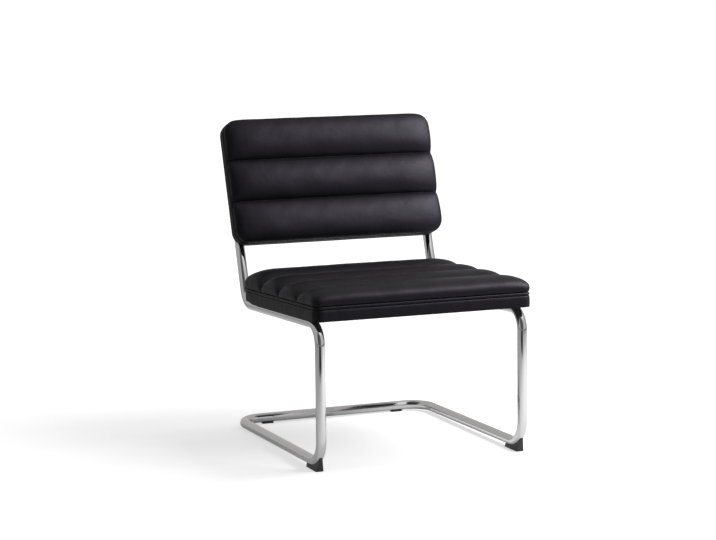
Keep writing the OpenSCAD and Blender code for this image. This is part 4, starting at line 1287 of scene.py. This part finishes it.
def lit_group(name, nodes, state):
    """The scene's own pieces for some nodes, as the only ones that a lamp lights, or with EXCLUDE as those it skips."""
    group = bpy.data.collections.new(name)
    for obj in bpy.data.objects:
        if obj.type == "MESH" and obj.name.startswith(tuple(node + "_" for node in nodes)):
            group.objects.link(obj)
    for member in group.collection_objects:
        member.light_linking.link_state = state
    return group


def softbox(name, place, aim, size, power, lit):
    """A rectangular lamp that looks at a point and lights one group."""
    lamp = bpy.data.lights.new(name, "AREA")
    lamp.shape, lamp.size, lamp.size_y, lamp.energy = "RECTANGLE", size[0], size[1], power
    obj = bpy.data.objects.new(name, lamp)
    bpy.context.scene.collection.objects.link(obj)
    obj.location = place
    obj.rotation_mode = "QUATERNION"
    obj.rotation_quaternion = (Vector(aim) - Vector(place)).to_track_quat("-Z", "Y")
    obj.visible_camera = False
    obj.light_linking.receiver_collection = lit


def floor_paper():
    """Matt white paper floor: it takes the chair's shadow and is otherwise as white as the backdrop; reflections also
    show a painted pool of light on it and a painted dark floor towards the camera.
    """
    material, tree, place = new_material("white_paper_floor")
    camera_way, aside_way = (-0.374, -0.927, 0.0), (0.927, -0.374, 0.0)
    matt = add(tree, "ShaderNodeBsdfDiffuse", {"Color": (0.8, 0.8, 0.8, 1.0)})
    # The lamps reach only the middle of the paper, so it glows more towards its far parts
    reach = add(tree, "ShaderNodeVectorMath", {0: place}, operation="LENGTH")
    glow_share = add(tree, "ShaderNodeMapRange", {"Value": reach.outputs["Value"], "From Min": 0.6, "From Max": 3.5,
                                                  "To Min": 0.525, "To Max": 0.90}, interpolation_type="SMOOTHSTEP")
    # For reflections alone, a painted pool of light: the paper glows palest where the lamps stand over it
    off = add(tree, "ShaderNodeVectorMath", {0: place, 1: (0.65, -1.0, 0.0)}, operation="DISTANCE")
    painted_pool_share = add(tree, "ShaderNodeMapRange", {"Value": off.outputs["Value"], "From Min": 0.2, "From Max": 1.9,
                                                 "To Min": 0.44, "To Max": 0.04}, interpolation_type="SMOOTHSTEP")
    seen = add(tree, "ShaderNodeLightPath")
    to_camera = add(tree, "ShaderNodeMath", {0: seen.outputs["Is Camera Ray"], 1: glow_share.outputs[0]},
                    operation="MULTIPLY")
    gloss = add(tree, "ShaderNodeMath", {0: seen.outputs["Is Glossy Ray"],
                                         1: seen.outputs["Is Transmission Ray"]}, operation="MAXIMUM")
    strength = add(tree, "ShaderNodeMath", {0: gloss.outputs[0], 1: painted_pool_share.outputs[0],
                                            2: to_camera.outputs[0]}, operation="MULTIPLY_ADD")
    glow = add(tree, "ShaderNodeEmission", {"Color": (1.0, 1.0, 1.0, 1.0), "Strength": strength.outputs[0]})
    paper = add(tree, "ShaderNodeAddShader", {0: matt.outputs[0], 1: glow.outputs[0]})
    # Towards the camera, reflections alone show a painted dark floor of the room, as if the paper ended there; the
    # camera still sees the paper
    towards = add(tree, "ShaderNodeVectorMath", {0: place, 1: camera_way}, operation="DOT_PRODUCT")
    ended = add(tree, "ShaderNodeMapRange", {"Value": towards.outputs["Value"], "From Min": 1.60, "From Max": 2.05,
                                             "To Min": 0.0, "To Max": 1.0}, interpolation_type="SMOOTHSTEP")
    aside = add(tree, "ShaderNodeVectorMath", {0: place, 1: aside_way}, operation="DOT_PRODUCT")
    off_axis = add(tree, "ShaderNodeMath", {0: aside.outputs["Value"]}, operation="ABSOLUTE")
    strip = add(tree, "ShaderNodeMapRange", {"Value": off_axis.outputs[0], "From Min": 0.45, "From Max": 1.15,
                                             "To Min": 1.0, "To Max": 0.0}, interpolation_type="SMOOTHSTEP")
    dark = add(tree, "ShaderNodeMath", {0: ended.outputs[0], 1: strip.outputs[0]}, operation="MULTIPLY")
    shown = add(tree, "ShaderNodeMath", {0: dark.outputs[0], 1: gloss.outputs[0]}, operation="MULTIPLY")
    painted_dark_floor = add(tree, "ShaderNodeBsdfDiffuse", {"Color": linear("353433")})
    floor = add(tree, "ShaderNodeMixShader", {0: shown.outputs[0], 1: paper.outputs[0], 2: painted_dark_floor.outputs[0]})
    add(tree, "ShaderNodeOutputMaterial", {"Surface": floor.outputs[0]})
    return material


def turned_to(tree, way, centre, rim, core, outside, inside):
    """A value that goes softly from one to another as a direction turns to a centre, from rim to core as cosines."""
    near = add(tree, "ShaderNodeVectorMath", {0: way, 1: centre}, operation="DOT_PRODUCT")
    return add(tree, "ShaderNodeMapRange", {"Value": near.outputs["Value"], "From Min": rim, "From Max": core,
                                            "To Min": outside, "To Max": inside},
               interpolation_type="SMOOTHSTEP").outputs[0]


def studio_world(scene):
    """A white backdrop for the camera, and round it the dim room that the gloss shows."""
    world = bpy.data.worlds.new("studio")
    scene.world = world
    world.use_nodes = True
    tree = world.node_tree
    tree.nodes.clear()
    way = add(tree, "ShaderNodeTexCoord").outputs["Generated"]
    # Grey walls, paler to the right of the front, with a bright screen high up there and the dark room on its left
    pale_share = turned_to(tree, way, centre=(0.453, -0.785, 0.423), rim=0.62, core=0.92, outside=0.0, inside=1.0)
    wall = add(tree, "ShaderNodeMix", {SHARE: pale_share, LOW: linear("cac8c6"), HIGH: linear("e0e0e4")},
               data_type="RGBA")
    screen = turned_to(tree, way, centre=(0.299, -0.299, 0.906), rim=0.82, core=0.96, outside=1.0, inside=1.7)
    darker = turned_to(tree, way, centre=(-0.42, -0.85, 0.32), rim=0.74, core=0.90, outside=1.0, inside=0.20)
    strength = add(tree, "ShaderNodeMath", {0: screen, 1: darker}, operation="MULTIPLY")
    gloss = add(tree, "ShaderNodeBackground", {"Color": wall.outputs[MIXED], "Strength": strength.outputs[0]})
    soft = add(tree, "ShaderNodeBackground", {"Color": (1.0, 1.0, 1.0, 1.0), "Strength": 0.35})
    white = add(tree, "ShaderNodeBackground", {"Color": (1.0, 1.0, 1.0, 1.0), "Strength": 1.0})
    seen = add(tree, "ShaderNodeLightPath")
    first = add(tree, "ShaderNodeMixShader", {0: seen.outputs["Is Glossy Ray"], 1: soft.outputs[0],
                                              2: gloss.outputs[0]})
    through = add(tree, "ShaderNodeMath", {0: seen.outputs["Is Camera Ray"], 1: seen.outputs["Is Transmission Ray"]},
                  operation="MAXIMUM")
    second = add(tree, "ShaderNodeMixShader", {0: through.outputs[0], 1: first.outputs[0], 2: white.outputs[0]})
    add(tree, "ShaderNodeOutputWorld", {"Surface": second.outputs[0]})


def camera(scene):
    """The photograph's own standpoint: a long lens, a little to the left and above the seat."""
    turn, rise, roll, distance = math.radians(-21.98), math.radians(7.65), math.radians(-0.684), 5.426
    target = Vector((-0.089, 0.200 - scene.chair_frame.middle, 0.4619))
    back = Vector((math.sin(turn) * math.cos(rise), -math.cos(turn) * math.cos(rise), math.sin(rise)))
    level = Vector((math.cos(turn), math.sin(turn), 0))
    upright = back.cross(level)
    right = level * math.cos(roll) + upright * math.sin(roll)
    up = upright * math.cos(roll) - level * math.sin(roll)
    data = bpy.data.cameras.new("camera")
    data.sensor_width, data.lens = 36.0, 108.45
    data.clip_start, data.clip_end = 0.1, 400.0
    obj = bpy.data.objects.new("camera", data)
    scene.collection.objects.link(obj)
    matrix = Matrix((right, up, back)).transposed().to_4x4()
    matrix.translation = target + back * distance
    obj.matrix_world = matrix
    scene.camera = obj


operators = (CHAIR_OT_frame_tubes, CHAIR_OT_fittings, CHAIR_OT_mouldings, CHAIR_OT_boards, CHAIR_OT_seat_cover,
             CHAIR_OT_back_cover, CHAIR_OT_foams, CHAIR_OT_seat_band, CHAIR_OT_back_band, CHAIR_OT_pipings,
             CHAIR_OT_back_panel, CHAIR_OT_dust_cover, CHAIR_OT_stitches, CHAIR_OT_stage)


class CHAIR_PT_panel(Panel):
    """Lists the chair's sizes, finishes and pieces"""
    bl_idname = "CHAIR_PT_panel"
    bl_label = "Lounge chair"
    bl_space_type = "VIEW_3D"
    bl_region_type = "UI"
    bl_category = "Chair"

    def draw(self, context):
        scene = context.scene
        for title, group in (("Frame", scene.chair_frame), ("Seat", scene.chair_seat), ("Back", scene.chair_back),
                             ("Upholstery", scene.chair_upholstery), ("Finishes", scene.chair_finish)):
            box = self.layout.box()
            box.label(text=title)
            for name in group.__annotations__:
                box.prop(group, name)
        column = self.layout.column()
        for operator in operators:
            column.operator(operator.bl_idname)


groups = (("chair_frame", FrameSizes), ("chair_seat", SeatSizes), ("chair_back", BackSizes),
          ("chair_upholstery", Upholstery), ("chair_finish", Finishes))


def register():
    for name, group in groups:
        bpy.utils.register_class(group)
        setattr(bpy.types.Scene, name, PointerProperty(type=group))
    for operator in operators:
        bpy.utils.register_class(operator)
    bpy.utils.register_class(CHAIR_PT_panel)


def unregister():
    bpy.utils.unregister_class(CHAIR_PT_panel)
    for operator in reversed(operators):
        bpy.utils.unregister_class(operator)
    for name, group in reversed(groups):
        delattr(bpy.types.Scene, name)
        bpy.utils.unregister_class(group)


def main():
    """Makes the chair and its stage."""
    register()
    chair = bpy.ops.lounge_chair
    chair.frame_tubes()
    chair.fittings()
    chair.mouldings()
    chair.boards()
    chair.seat_cover()
    chair.back_cover()
    chair.foams()
    chair.seat_band()
    chair.back_band()
    chair.pipings()
    chair.back_panel()
    chair.dust_cover()
    chair.stitches()
    chair.stage()


if __name__ == "__main__":
    main()
